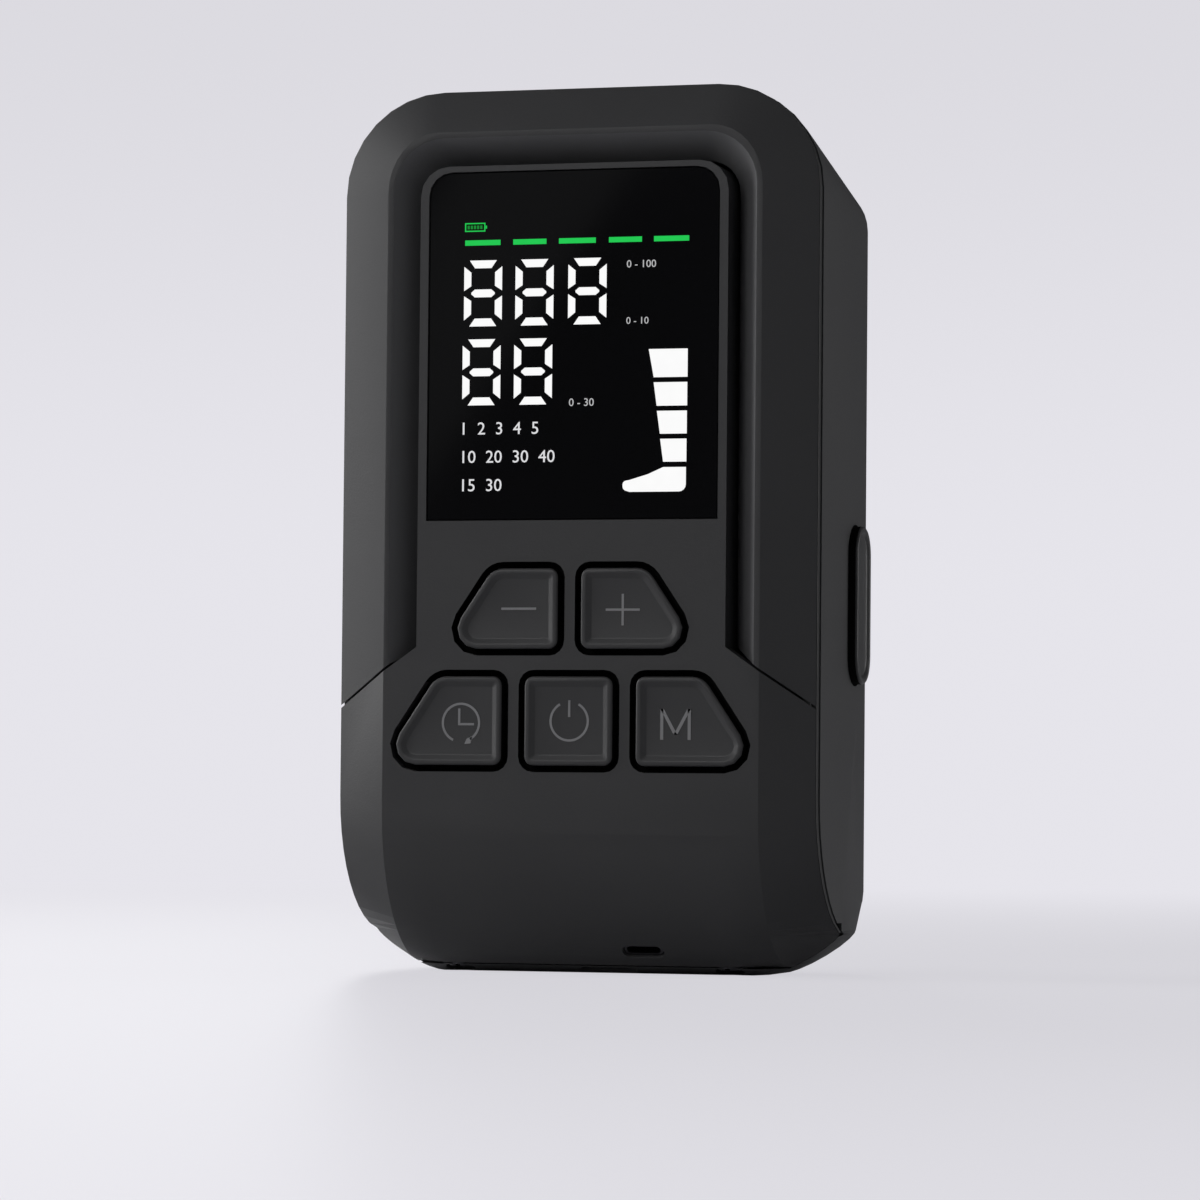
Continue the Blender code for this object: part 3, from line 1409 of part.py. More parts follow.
def make_manifold():
    """A block with bores that meet: up to the valves, down to the pump and back to the hoses."""
    low = (-MANIFOLD_HALF_WIDTH, board_back(), MANIFOLD_BASE)
    manifold = box(low, (MANIFOLD_HALF_WIDTH, valve_back(), MANIFOLD_TOP))
    middle = (board_back() + valve_back()) / 2
    length = 2 * MANIFOLD_HALF_WIDTH - BORE_SPARE
    start = at(-length / 2, middle, SOCKET_Z)
    cut(manifold, rod(start, AXIS_X, MANIFOLD_BORE, length + BORE_SPARE + OVERRUN, FINE_STEPS))
    for side in (-1, 1):
        back = at(side * SOCKET_PORT_X, middle, SOCKET_Z)
        cut(manifold, rod(back, AXIS_Y, MANIFOLD_BORE, VALVE_DEPTH, FINE_STEPS))
    inlet = at(MANIFOLD_PORT_X, middle, MANIFOLD_BASE - OVERRUN)
    return cut(manifold, rod(inlet, AXIS_Z, MANIFOLD_BORE, SOCKET_Z - MANIFOLD_BASE + OVERRUN, FINE_STEPS))


def valve_base():
    return MANIFOLD_TOP + GAP


def make_valve(side):
    """A solenoid valve: a square coil body with a bore for its plunger."""
    half = VALVE_WIDTH / 2
    x = side * VALVE_X
    top = valve_base() + VALVE_HEIGHT
    body = box((x - half, board_back(), valve_base()), (x + half, valve_back(), top))
    middle = (board_back() + valve_back()) / 2
    start = at(x, middle, top - PLUNGER_LENGTH)
    return cut(body, rod(start, AXIS_Z, PLUNGER_RADIUS + GAP, PLUNGER_LENGTH + OVERRUN, FINE_STEPS))


def make_plunger(side):
    top = valve_base() + VALVE_HEIGHT
    middle = (board_back() + valve_back()) / 2
    start = at(side * VALVE_X, middle, top - PLUNGER_LENGTH + GAP)
    return rod(start, AXIS_Z, PLUNGER_RADIUS, PLUNGER_LENGTH + PLUNGER_PROUD - GAP, FINE_STEPS)


def make_tube(points):
    """A tube through world points."""
    curve = bpy.data.curves.new("tube", "CURVE")
    curve.dimensions = "3D"
    curve.bevel_depth = TUBE_RADIUS
    curve.bevel_resolution = TUBE_FACETS
    curve.use_fill_caps = True
    spline = curve.splines.new("POLY")
    spline.points.add(len(points) - 1)
    for point, place in zip(spline.points, points):
        point.co = (*place, 1)
    guide = bpy.data.objects.new("tube guide", curve)
    bpy.context.scene.collection.objects.link(guide)
    graph = bpy.context.evaluated_depsgraph_get()
    mesh = bpy.data.meshes.new_from_object(guide.evaluated_get(graph))
    bpy.data.objects.remove(guide)
    bm = bmesh.new()
    bm.from_mesh(mesh)
    bmesh.ops.remove_doubles(bm, verts=bm.verts, dist=GAP / 10)
    return object_from(bm, "tube")


def make_pump_tube():
    """From the pump's nipple up and forward to the manifold, straight where it leaves and arrives."""
    middle = (board_back() + valve_back()) / 2
    low = at(nipple_x(), PUMP_DEPTH, nipple_top() + GAP)
    high = at(MANIFOLD_PORT_X, middle, MANIFOLD_BASE - GAP)
    points = [low]
    run = high.z - low.z
    straight = TUBE_RADIUS
    for i in range(TUBE_STEPS + 1):
        share = i / TUBE_STEPS
        ease = share * share * (3 - 2 * share)
        point = low.lerp(high, ease)
        point.z = low.z + straight + (run - 2 * straight) * share
        points.append(point)
    points.append(high)
    return make_tube(points)


def make_hose_tube(side):
    x = side * SOCKET_PORT_X
    end = DEPTH - SOCKET_DEPTH - SOCKET_WALL - NOZZLE_LENGTH - GAP
    return make_tube([at(x, valve_back() + GAP, SOCKET_Z), at(x, end, SOCKET_Z)])


def make_sensor_tube():
    top = SENSOR_Z - SENSOR_SIZE / 2 - SENSOR_PORT_LENGTH - GAP
    return make_tube([at(SENSOR_X, sensor_depth(), MANIFOLD_TOP + GAP), at(SENSOR_X, sensor_depth(), top)])


def make_outlet_socket():
    """An oval cup let into the rear face, with an air hole and a nozzle for each hose."""
    floor = DEPTH - SOCKET_DEPTH
    base = floor - SOCKET_WALL
    socket = plate(socket_outline(0), base, DEPTH)
    cut(socket, plate(socket_outline(-SOCKET_WALL), floor, DEPTH + OVERRUN))
    for side in (-1, 1):
        start = at(side * SOCKET_PORT_X, base - NOZZLE_LENGTH, SOCKET_Z)
        join(socket, rod(start, AXIS_Y, SOCKET_NOZZLE, NOZZLE_LENGTH + SOCKET_WALL / 2, FINE_STEPS))
        hole = start - AXIS_Y * OVERRUN
        cut(socket, rod(hole, AXIS_Y, SOCKET_PORT_RADIUS, SOCKET_DEPTH + NOZZLE_LENGTH, FINE_STEPS))
    return socket


def clear_scene():
    for obj in list(bpy.data.objects):
        bpy.data.objects.remove(obj)


def build():
    clear_scene()
    pump = bpy.data.objects.new("compression_pump", None)
    bpy.context.scene.collection.objects.link(pump)
    shell = make_material("shell_plastic", (0.02, 0.02, 0.022), 0.5)
    band = make_material("band_plastic", (0.035, 0.035, 0.038), 0.35)
    key_plastic = make_material("key_plastic", (0.025, 0.025, 0.027), 0.45)
    lens = make_material("lens_black", (0.004, 0.004, 0.005), 0.08)
    steel = make_material("steel", (0.6, 0.6, 0.62), 0.3, 1.0)
    board = make_material("board_green", (0.02, 0.12, 0.06), 0.5)
    chip = make_material("chip_black", (0.02, 0.02, 0.02), 0.4)
    rubber = make_material("rubber_grey", (0.12, 0.12, 0.12), 0.8)
    frame = make_material("frame_white", (0.7, 0.7, 0.7), 0.5)
    cell = make_material("cell_wrap", (0.05, 0.15, 0.4), 0.35)
    nylon = make_material("nylon_white", (0.6, 0.6, 0.58), 0.5)
    silicone = make_material("silicone_clear", (0.65, 0.66, 0.68), 0.35)

    def add(obj, name, material, origin=None):
        return finish(obj, name, material, origin, pump)

    add(make_bezel(), "bezel_cover", shell)
    add(make_front_panel(), "front_panel", shell)
    add(make_housing(), "rear_housing", shell)
    add(make_trim_band(), "trim_band", band)
    add(make_window(), "display_window", lens)
    for name, (row, side, centre) in KEYS.items():
        middle = at(centre, 0, row_middle(row))
        add(make_key(row, side, centre), name, key_plastic, middle)
        add(make_key_switch(row, centre), name.replace("key_", "switch_"), chip)
    button_middle = at(HALF_WIDTH, BUTTON_DEPTH, BUTTON_Z)
    add(make_side_button(), "side_button", key_plastic, button_middle)
    add(make_side_switch(), "side_switch", chip)
    add(make_side_board(), "side_board", board)
    for i, (x, z, _) in enumerate(side_screw_places(), 1):
        screw = make_screw(SCREW_HEAD_RADIUS, SCREW_HEAD_HEIGHT, SCREW_LENGTH)
        place_screw(screw, at(x, SCREW_SEAT_DEPTH + SCREW_HEAD_HEIGHT, z), -AXIS_Y)
        add(screw, f"rear_screw_{i}", steel)
    for name, side in (("base_screw_left", -1), ("base_screw_right", 1)):
        screw = make_screw(BASE_SCREW_HEAD_RADIUS, BASE_SCREW_HEAD, BASE_SCREW_LENGTH)
        place_screw(screw, at(side * BASE_SCREW_X, BASE_SCREW_DEPTH, BASE_SCREW_RECESS), AXIS_Z)
        add(screw, name, steel)
    add(make_display_module(), "display_module", chip)
    add(make_backlight(), "backlight_plate", frame)
    add(make_display_frame(), "display_frame", frame)
    add(make_membrane(), "keypad_membrane", rubber)
    add(make_main_board(), "main_board", board)
    add(make_chip(), "controller_chip", chip)
    add(make_buzzer(), "buzzer", chip)
    add(make_sensor(), "pressure_sensor", chip)
    add(make_charge_port(), "charge_port", steel)
    add(make_charge_board(), "charge_board", board)
    add(make_filter(), "inlet_filter", rubber)
    add(make_cell(-1), "battery_cell_1", cell)
    add(make_cell(1), "battery_cell_2", cell)
    add(make_battery_holder(), "battery_holder", nylon)
    add(make_motor(), "pump_motor", steel)
    add(make_rotor(), "motor_rotor", steel, pump_point(MOTOR_END_X))
    add(make_pump_head(), "pump_head", nylon)
    add(make_wobble_plate(), "wobble_plate", nylon)
    add(make_diaphragm(), "pump_diaphragm", rubber)
    add(make_head_cover(), "head_cover", nylon)
    add(make_bracket(MOTOR_END_X + MOTOR_LENGTH / 2, MOTOR_RADIUS), "motor_cradle", rubber)
    add(make_bracket(head_start() + HEAD_LENGTH / 2, HEAD_RADIUS), "head_cradle", rubber)
    add(make_manifold(), "manifold", nylon)
    for i, side in enumerate((-1, 1), 1):
        add(make_valve(side), f"valve_{i}", steel)
        bottom = at(side * VALVE_X, (board_back() + valve_back()) / 2, valve_base())
        add(make_plunger(side), f"valve_plunger_{i}", steel, bottom)
        add(make_hose_tube(side), f"hose_tube_{i}", silicone)
    add(make_pump_tube(), "pump_tube", silicone)
    add(make_sensor_tube(), "sensor_tube", silicone)
    add(make_outlet_socket(), "outlet_socket", shell)


build()
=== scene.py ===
# %% [markdown]
# A hand-held compression pump: a black moulded casing, a glossy display with lit figures, five push
# keys, a long side button and a hose socket at the rear. The solid model gives the true shape of every
# piece. This lesson dresses it: it softens the moulded edges, gives each material its grain and sheen,
# draws the display and the key legends, and sets up a plain studio.

# %% Load the solid model
import json
import math

import bmesh
import bpy
from mathutils import Matrix, Vector


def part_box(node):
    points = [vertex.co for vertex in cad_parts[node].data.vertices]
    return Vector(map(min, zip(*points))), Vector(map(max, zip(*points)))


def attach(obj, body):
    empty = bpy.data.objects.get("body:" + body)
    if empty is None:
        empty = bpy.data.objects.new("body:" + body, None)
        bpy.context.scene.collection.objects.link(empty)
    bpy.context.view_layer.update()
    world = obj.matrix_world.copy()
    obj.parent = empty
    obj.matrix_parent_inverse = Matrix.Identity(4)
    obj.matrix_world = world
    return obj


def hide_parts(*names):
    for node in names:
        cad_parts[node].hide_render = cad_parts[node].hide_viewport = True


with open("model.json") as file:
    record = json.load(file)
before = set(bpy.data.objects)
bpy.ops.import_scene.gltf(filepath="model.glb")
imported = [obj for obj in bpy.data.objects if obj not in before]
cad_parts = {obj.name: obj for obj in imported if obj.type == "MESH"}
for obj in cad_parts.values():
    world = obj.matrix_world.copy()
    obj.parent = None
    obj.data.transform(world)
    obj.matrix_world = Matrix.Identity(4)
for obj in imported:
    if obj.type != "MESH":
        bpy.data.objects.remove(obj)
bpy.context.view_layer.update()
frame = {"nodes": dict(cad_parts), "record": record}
nodes = frame["nodes"]

# %% [markdown]
# Drawings of such a casing are in millimetres, and Blender works in metres. Places on the front are
# given as on the real object: x to the viewer's right and z up from the base, both in millimetres.

# %% Places and sizes
MM = 0.001
HAIR = 0.04
LENS_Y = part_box("display_window")[0].y


def mm(value):
    """A length written in millimetres, as on a drawing."""
    return value * MM


print("The lens lies", round(LENS_Y / MM, 2), "mm in front of the middle")

# %% [markdown]
# The camera stands low, a little to the right, and looks slightly up. A long lens keeps the sides of
# the casing nearly parallel. Its place follows from the aim point, three angles and the distance.

# %% Camera
AIM = Vector((mm(-0.34), mm(-7.5), mm(63.89)))
YAW = 0.274016692
PITCH = 0.0420382517
ROLL = 0.00899850347
DISTANCE = 0.830186319
LENS_MM = 144.87

ahead_flat = Vector((-math.sin(YAW), math.cos(YAW), 0))
right_flat = Vector((math.cos(YAW), math.sin(YAW), 0))
upright = Vector((0, 0, 1))
ahead = ahead_flat * math.cos(PITCH) + upright * math.sin(PITCH)
above_flat = upright * math.cos(PITCH) - ahead_flat * math.sin(PITCH)
right = right_flat * math.cos(ROLL) + above_flat * math.sin(ROLL)
above = above_flat * math.cos(ROLL) - right_flat * math.sin(ROLL)
eye = AIM - ahead * DISTANCE

camera_data = bpy.data.cameras.new("camera")
camera_data.lens = LENS_MM
camera_data.sensor_width = 36
camera_data.clip_start = 0.05
camera = bpy.data.objects.new("camera", camera_data)
bpy.context.scene.collection.objects.link(camera)
turn = Matrix((right, above, -ahead)).transposed()
camera.matrix_world = Matrix.Translation(eye) @ turn.to_4x4()
bpy.context.scene.camera = camera
bpy.context.scene.view_settings.view_transform = "Standard"
print("The eye is at", tuple(round(v, 4) for v in eye))

# %% [markdown]
# Shader maths reads better as sums than as a web of nodes. This small class wraps a socket: adding,
# subtracting or multiplying it adds the Math node and wires it up, whichever side the number is on.


# %% A socket that can be added and multiplied
class Wire:
    def __init__(self, maker, socket):
        self.maker = maker
        self.socket = socket

    def maths(self, operation, first, second):
        settings = {"operation": operation}
        return self.maker.node("ShaderNodeMath", settings, {0: first, 1: second})

    def __add__(self, other):
        return self.maths("ADD", self, other)

    __radd__ = __add__

    def __sub__(self, other):
        return self.maths("SUBTRACT", self, other)

    def __rsub__(self, other):
        return self.maths("SUBTRACT", other, self)

    def __mul__(self, other):
        return self.maths("MULTIPLY", self, other)

    __rmul__ = __mul__


# %% [markdown]
# Every other node comes from one method, which takes the node's type, its settings and what goes into
# its sockets. The rest of the class only names the few patterns that several finishes share.


# %% A node tree that is written, not drawn
class Maker:
    def __init__(self, tree):
        self.tree = tree

    def node(self, kind, settings=None, sockets=None, output=0):
        made = self.tree.nodes.new(kind)
        for key, value in (settings or {}).items():
            setattr(made, key, value)
        for key, value in (sockets or {}).items():
            self.feed(made.inputs[key], value)
        return Wire(self, made.outputs[output])

    def feed(self, socket, value):
        if isinstance(value, Wire):
            self.tree.links.new(value.socket, socket)
        else:
            socket.default_value = value

    def noise(self, scale, detail=2.0, roughness=0.5, squeeze=(1.0, 1.0, 1.0)):
        place = self.node("ShaderNodeTexCoord", output="Object")
        place = self.node("ShaderNodeMapping", None, {"Vector": place, "Scale": squeeze})
        sockets = {"Vector": place, "Scale": scale, "Detail": detail, "Roughness": roughness}
        return self.node("ShaderNodeTexNoise", None, sockets)

    def blend(self, factor, first, second):
        """A colour between two colours. A Mix node's colours are its sockets 6 and 7."""
        sockets = {0: factor, 6: (*first, 1.0), 7: (*second, 1.0)}
        return self.node("ShaderNodeMix", {"data_type": "RGBA"}, sockets, output=2)

    def bump(self, height, strength, distance):
        sockets = {"Height": height, "Strength": strength, "Distance": distance}
        return self.node("ShaderNodeBump", None, sockets)


class Finish(Maker):
    """A material: its node tree and the shader that the finished surface comes from."""

    def __init__(self, name):
        self.material = bpy.data.materials.new(name)
        self.material.use_nodes = True
        super().__init__(self.material.node_tree)
        self.shader = self.tree.nodes["Principled BSDF"]

    def set(self, **values):
        for key, value in values.items():
            self.feed(self.shader.inputs[key.replace("_", " ")], value)


# %% [markdown]
# The casing is black plastic moulded against a finely eroded tool. Close up it has a grain of some
# tenths of a millimetre that spreads highlights, and its sheen drifts a little across a face. Two
# noises give that: a coarse one varies colour and roughness, a fine one makes the grain.


# %% Moulded plastics
GRAIN_DEPTH = mm(0.06)


def moulded(name, dark, light, rough, grain, gloss=0.4, grain_scale=2600.0):
    finish = Finish(name)
    drift = finish.noise(38.0, 3.0)
    fine = finish.noise(grain_scale, 2.0, 0.55)
    finish.set(
        Base_Color=finish.blend(drift, dark, light),
        Roughness=drift * (rough[1] - rough[0]) + fine * 0.06 + (rough[0] - 0.03),
        Normal=finish.bump(fine, grain, GRAIN_DEPTH),
        Specular_IOR_Level=gloss,
    )
    print("Finish", name)
    return finish.material


casing_plastic = moulded("casing_plastic", (0.032, 0.032, 0.0333), (0.038, 0.038, 0.0393), (0.42, 0.50), 0.35, 0.17)
key_plastic = moulded("key_plastic", (0.031, 0.031, 0.0322), (0.036, 0.036, 0.0372), (0.36, 0.42), 0.22, 0.2)
# Painted shade: the trim band is darker than the casing so that it reads as the shaded groove it sits in.
band_plastic = moulded("band_plastic", (0.014, 0.014, 0.0145), (0.019, 0.019, 0.0195), (0.44, 0.50), 0.12, 0.15)
dark_rubber = moulded("dark_rubber", (0.02, 0.02, 0.02), (0.05, 0.05, 0.05), (0.7, 0.85), 0.5, 0.3, 1500.0)
white_nylon = moulded("white_nylon", (0.5, 0.5, 0.48), (0.62, 0.61, 0.58), (0.45, 0.55), 0.2, 0.5)
chip_resin = moulded("chip_resin", (0.012, 0.012, 0.012), (0.03, 0.03, 0.03), (0.4, 0.55), 0.3, 0.5)

# %% [markdown]
# The display window is polished and carries a coating against reflections, so it is nearly black with
# a faint sharp reflection. A very weak, broad ripple keeps that reflection from looking computed.

# %% Display lens
lens = Finish("lens_glass")
ripple = lens.noise(24.0, 1.0)
lens.set(
    Base_Color=lens.blend(ripple, (0.0010, 0.0010, 0.0013), (0.0018, 0.0018, 0.0022)),
    Roughness=ripple * 0.03 + 0.05,
    Normal=lens.bump(ripple, 0.05, mm(0.1)),
    Specular_IOR_Level=0.28,
)
lens_black = lens.material
print("Finish", lens_black.name)

# %% [markdown]
# Inside there are metals, boards, sleeves and clear tubes. They show only when the casing is open,
# yet each has its own finish: drawn steel with fine lines, a green lacquered board, a shrunk sleeve.


# %% Inner finishes
def drawn_metal(name, dark, light):
    finish = Finish(name)
    lines = finish.noise(1.0, 2.0, 0.5, (300.0, 4000.0, 4000.0))
    finish.set(
        Base_Color=finish.blend(lines, dark, light),
        Roughness=lines * 0.2 + 0.22,
        Normal=finish.bump(lines, 0.2, mm(0.03)),
        Metallic=1.0,
    )
    print("Finish", name)
    return finish.material


def lacquered(name, dark, light, rough):
    finish = Finish(name)
    cloud = finish.noise(160.0, 3.0)
    finish.set(Base_Color=finish.blend(cloud, dark, light), Roughness=cloud * 0.15 + rough)
    print("Finish", name)
    return finish.material


steel = drawn_metal("drawn_steel", (0.42, 0.42, 0.44), (0.62, 0.62, 0.64))
dark_steel = drawn_metal("blackened_steel", (0.05, 0.05, 0.055), (0.09, 0.09, 0.095))
board_green = lacquered("board_lacquer", (0.008, 0.07, 0.035), (0.015, 0.11, 0.055), 0.3)
sleeve_blue = lacquered("cell_sleeve", (0.02, 0.08, 0.3), (0.03, 0.11, 0.38), 0.25)
reflector = lacquered("reflector_white", (0.7, 0.7, 0.7), (0.8, 0.8, 0.8), 0.4)
silicone = lacquered("milky_silicone", (0.6, 0.62, 0.64), (0.7, 0.71, 0.73), 0.3)

# %% [markdown]
# The lit figures give light of their own, so their body colour is almost black and the colour comes
# from emission. A faint unevenness is what a real backlight behind a mask shows. The key legends are
# printed in a mid grey and give no light.


# %% Lit and printed finishes
def lit(name, colour, unevenness):
    finish = Finish(name)
    cloud = finish.noise(420.0, 2.0)
    dim = tuple(channel * (1 - unevenness) for channel in colour)
    finish.set(
        Base_Color=(0.002, 0.002, 0.002, 1.0),
        Roughness=0.5,
        Emission_Color=finish.blend(cloud, dim, colour),
        Emission_Strength=1.0,
        Specular_IOR_Level=0.1,
    )
    print("Finish", name)
    return finish.material


digit_white = lit("digit_white", (0.98, 0.98, 0.98), 0.05)
label_grey = lit("label_grey", (0.50, 0.50, 0.51), 0.08)
number_white = lit("number_white", (0.74, 0.74, 0.76), 0.05)
bar_green = lit("bar_green", (0.010, 0.62, 0.085), 0.15)
dim_green = lit("dim_green", (0.003, 0.26, 0.03), 0.15)
legend_grey = lacquered("legend_grey", (0.135, 0.135, 0.14), (0.165, 0.165, 0.17), 0.4)

# %% [markdown]
# The solid model's pieces are exact but sharp. A moulded part has a small radius on each edge, which
# catches a thin line of light. So each shell is copied, its loose triangles are merged, flat areas
# are cleaned up, and a narrow bevel and even normals finish it. The copy stands for the solid.


# %% Helpers for working on one piece at a time
def deselect_all():
    for obj in list(bpy.context.selected_objects):
        obj.select_set(False)


def focus(obj):
    deselect_all()
    obj.select_set(True)
    bpy.context.view_layer.objects.active = obj


def body_of(node):
    for body, members in frame["record"]["behaviour"]["bodies"].items():
        if node in members:
            return body
    raise KeyError(node)


def slot_of(node):
    for part in frame["record"]["subparts"]:
        if part["node"] == node:
            return part["material_slot"]
    raise KeyError(node)


def paint(piece, material):
    piece.data.materials.clear()
    piece.data.materials.append(material)


# %% Soften the moulded edges
MERGE_GAP = mm(0.002)
FLAT_ANGLE = math.radians(0.8)
EDGE_ANGLE = math.radians(18)
SMOOTH_ANGLE = math.radians(20)


def soften(node, width, material):
    """A copy of a node with small radii on its edges, which replaces the node."""
    piece = bpy.data.objects.new(node + "_moulded", nodes[node].data.copy())
    bpy.context.scene.collection.objects.link(piece)
    focus(piece)
    bpy.ops.object.mode_set(mode="EDIT")
    bpy.ops.mesh.select_all(action="SELECT")
    bpy.ops.mesh.remove_doubles(threshold=MERGE_GAP)
    bpy.ops.mesh.dissolve_limited(angle_limit=FLAT_ANGLE)
    bpy.ops.object.mode_set(mode="OBJECT")
    bevel = piece.modifiers.new("edge radius", "BEVEL")
    bevel.width = mm(width)
    bevel.segments = 2
    bevel.limit_method = "ANGLE"
    bevel.angle_limit = EDGE_ANGLE
    bpy.ops.object.modifier_apply(modifier=bevel.name)
    bpy.ops.object.shade_smooth_by_angle(angle=SMOOTH_ANGLE)
    paint(piece, material)
    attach(piece, body_of(node))
    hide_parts(node)
    slot_of(node)
    print(piece.name, len(piece.data.polygons), "faces")
    return piece


# %% The pieces that get soft edges, with each radius in millimetres
SOFT_EDGES = {
    "bezel_cover": (0.22, casing_plastic),
    "front_panel": (0.16, casing_plastic),
    "rear_housing": (0.22, casing_plastic),
    "trim_band": (0.1, band_plastic),
    "side_button": (0.12, key_plastic),
    "key_minus": (0.12, key_plastic),
    "key_plus": (0.12, key_plastic),
    "key_timer": (0.12, key_plastic),
    "key_power": (0.12, key_plastic),
    "key_mode": (0.12, key_plastic),
    "outlet_socket": (0.15, casing_plastic),
}
soft = {node: soften(node, width, material) for node, (width, material) in SOFT_EDGES.items()}

# %% [markdown]
# The slope that runs down from the front ridge to the display gets a colour a little paler than the
# rest, so it reads as a frame round the dark centre. That paleness is a painted highlight for the light
# the slope catches from the left, which the raised centre shades from the lamps. Its faces are found by
# the way they look: towards the middle of the casing and a little forwards.

# %% Painted highlight on the inner slope
SLOPE_LOOK = 0.45
TOP_START = mm(120)
# Painted highlight: the slope's paler colour stands in for the light it gets from the left.
slope_painted_highlight = moulded("slope_painted_highlight", (0.071, 0.071, 0.0735), (0.082, 0.082, 0.0845), (0.36, 0.42), 0.25, 0.25)
bezel = soft["bezel_cover"]
bezel.data.materials.append(slope_painted_highlight)
on_slope = 0
for face in bezel.data.polygons:
    inwards = -face.normal.x if face.center.x > 0 else face.normal.x
    if face.center.z > TOP_START:
        inwards = max(inwards, -face.normal.z)
    if inwards > SLOPE_LOOK and face.normal.y < -0.2:
        face.material_index = 1
        on_slope += 1
# The faces counted here carry the slope's painted highlight.
print(on_slope, "faces of the slope are lacquered")

# %% [markdown]
# Each key stands in a hole of the panel with a gap of a millimetre. That gap is deep black because it
# lies in shade, and the shade is painted: its walls get a near-black colour. The walls are the faces of
# the key and of the hole that look sideways, and the key's rim behind the panel.

# %% Painted shade in the gaps round the keys
GAP_FRONT_Y = mm(-27.5)
FLANGE_Y = mm(-25.5)
HOLE_HALF_WIDTH = mm(26.4)
HOLES_Z = (mm(33), mm(72))
# Painted shade: this near-black colour on the gap walls stands in for the shadow in the gaps.
gap_painted_shade = moulded("gap_painted_shade", (0.0016, 0.0016, 0.0016), (0.0024, 0.0024, 0.0024), (0.7, 0.8), 0.3, 0.04)


def paint_gap_shade(piece, test):
    piece.data.materials.append(gap_painted_shade)
    index = len(piece.data.materials) - 1
    walls = [face for face in piece.data.polygons if test(face)]
    for face in walls:
        face.material_index = index
    print(piece.name, len(walls), "black faces")


def key_wall(face):
    return face.center.y > FLANGE_Y or abs(face.normal.y) < 0.5


def hole_wall(face):
    inside = abs(face.center.x) < HOLE_HALF_WIDTH and HOLES_Z[0] < face.center.z < HOLES_Z[1]
    return inside and face.center.y > GAP_FRONT_Y and abs(face.normal.y) < 0.4


for node in [node for node in soft if node.startswith("key_")]:
    paint_gap_shade(soft[node], key_wall)
paint_gap_shade(soft["front_panel"], hole_wall)

# %% Painted shade in the gap round the side button
SIDE_GAP = mm(0.9)
SIDE_FACE_X = mm(41.6)
SIDE_WALL_DEPTH = mm(5)
side_low, side_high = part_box("side_button")


def side_wall(face):
    """A face near the button, behind the casing's side, that looks along that side."""
    near_y = side_low.y - SIDE_GAP < face.center.y < side_high.y + SIDE_GAP
    near_z = side_low.z - SIDE_GAP < face.center.z < side_high.z + SIDE_GAP
    behind = SIDE_FACE_X - SIDE_WALL_DEPTH < face.center.x < SIDE_FACE_X - mm(0.05)
    return near_y and near_z and behind and abs(face.normal.x) < 0.75


# Painted shade: the opening's walls and the button's flange get the near-black gap colour for the contact shadow.
paint_gap_shade(soft["rear_housing"], side_wall)
paint_gap_shade(soft["side_button"], side_wall)

# %% [markdown]
# The other nodes keep their shape and get a finish by what they are made of. Screws are blackened, as
# they are on dark casings, so they differ from the bright steel of the motor.

# %% Finish the remaining nodes
FINISHES = {
    "lens_black": lens_black,
    "steel": steel,
    "board_green": board_green,
    "chip_black": chip_resin,
    "rubber_grey": dark_rubber,
    "frame_white": reflector,
    "cell_wrap": sleeve_blue,
    "nylon_white": white_nylon,
    "silicone_clear": silicone,
}
kept = [node for node in nodes if node not in SOFT_EDGES]
for node in kept:
    blackened = "screw" in node or node == "charge_port"
    paint(nodes[node], dark_steel if blackened else FINISHES[slot_of(node)])
print(len(kept), "nodes keep their shape")

# %% [markdown]
# The figures on the display are thin sheets. Each starts as an upright plane of the figure's size;
# its corners are then pulled to the right shape in edit mode, its sharp corners are rounded, and the
# face is extruded by a hair so that it is a closed body. Selecting by place keeps it readable: a
# corner is named by where it is, not by its number.


# %% Thin upright sheets
NEAR = 0.02


def sheet(name, left, right_x, base, top, depth=LENS_Y):
    """An upright rectangle that faces the viewer, with its edges given in millimetres."""
    deselect_all()
    middle = (mm((left + right_x) / 2), depth, mm((base + top) / 2))
    bpy.ops.mesh.primitive_plane_add(size=1, location=middle, rotation=(math.pi / 2, 0, 0))
    piece = bpy.context.object
    piece.name = name
    piece.scale = (mm(right_x - left), mm(top - base), 1)
    bpy.ops.object.transform_apply(location=True, rotation=True, scale=True)
    return piece


def pick(piece, places):
    """In edit mode, selects the corners that lie at these (x, z) places."""
    bpy.ops.mesh.select_mode(type="VERT")
    bpy.ops.mesh.select_all(action="DESELECT")
    mesh = bmesh.from_edit_mesh(piece.data)
    for corner in mesh.verts:
        here = (corner.co.x / MM, corner.co.z / MM)
        corner.select = any(math.dist(here, place) < NEAR for place in places)
    mesh.select_flush(True)
    bmesh.update_edit_mesh(piece.data)


def pull(piece, places, shift):
    """Moves the corners at these places by (x, z) millimetres."""
    focus(piece)
    bpy.ops.object.mode_set(mode="EDIT")
    pick(piece, places)
    bpy.ops.transform.translate(value=(mm(shift[0]), 0, mm(shift[1])))
    bpy.ops.object.mode_set(mode="OBJECT")


def grow(piece, places, shift):
    """Extrudes the edge between the corners at these places by (x, z) millimetres."""
    focus(piece)
    bpy.ops.object.mode_set(mode="EDIT")
    pick(piece, places)
    move = {"value": (mm(shift[0]), 0, mm(shift[1]))}
    bpy.ops.mesh.extrude_region_move(TRANSFORM_OT_translate=move)
    bpy.ops.object.mode_set(mode="OBJECT")


def round_corners(piece, places, radius):
    focus(piece)
    bpy.ops.object.mode_set(mode="EDIT")
    pick(piece, places)
    bpy.ops.mesh.bevel(offset=mm(radius), segments=4, affect="VERTICES")
    bpy.ops.object.mode_set(mode="OBJECT")


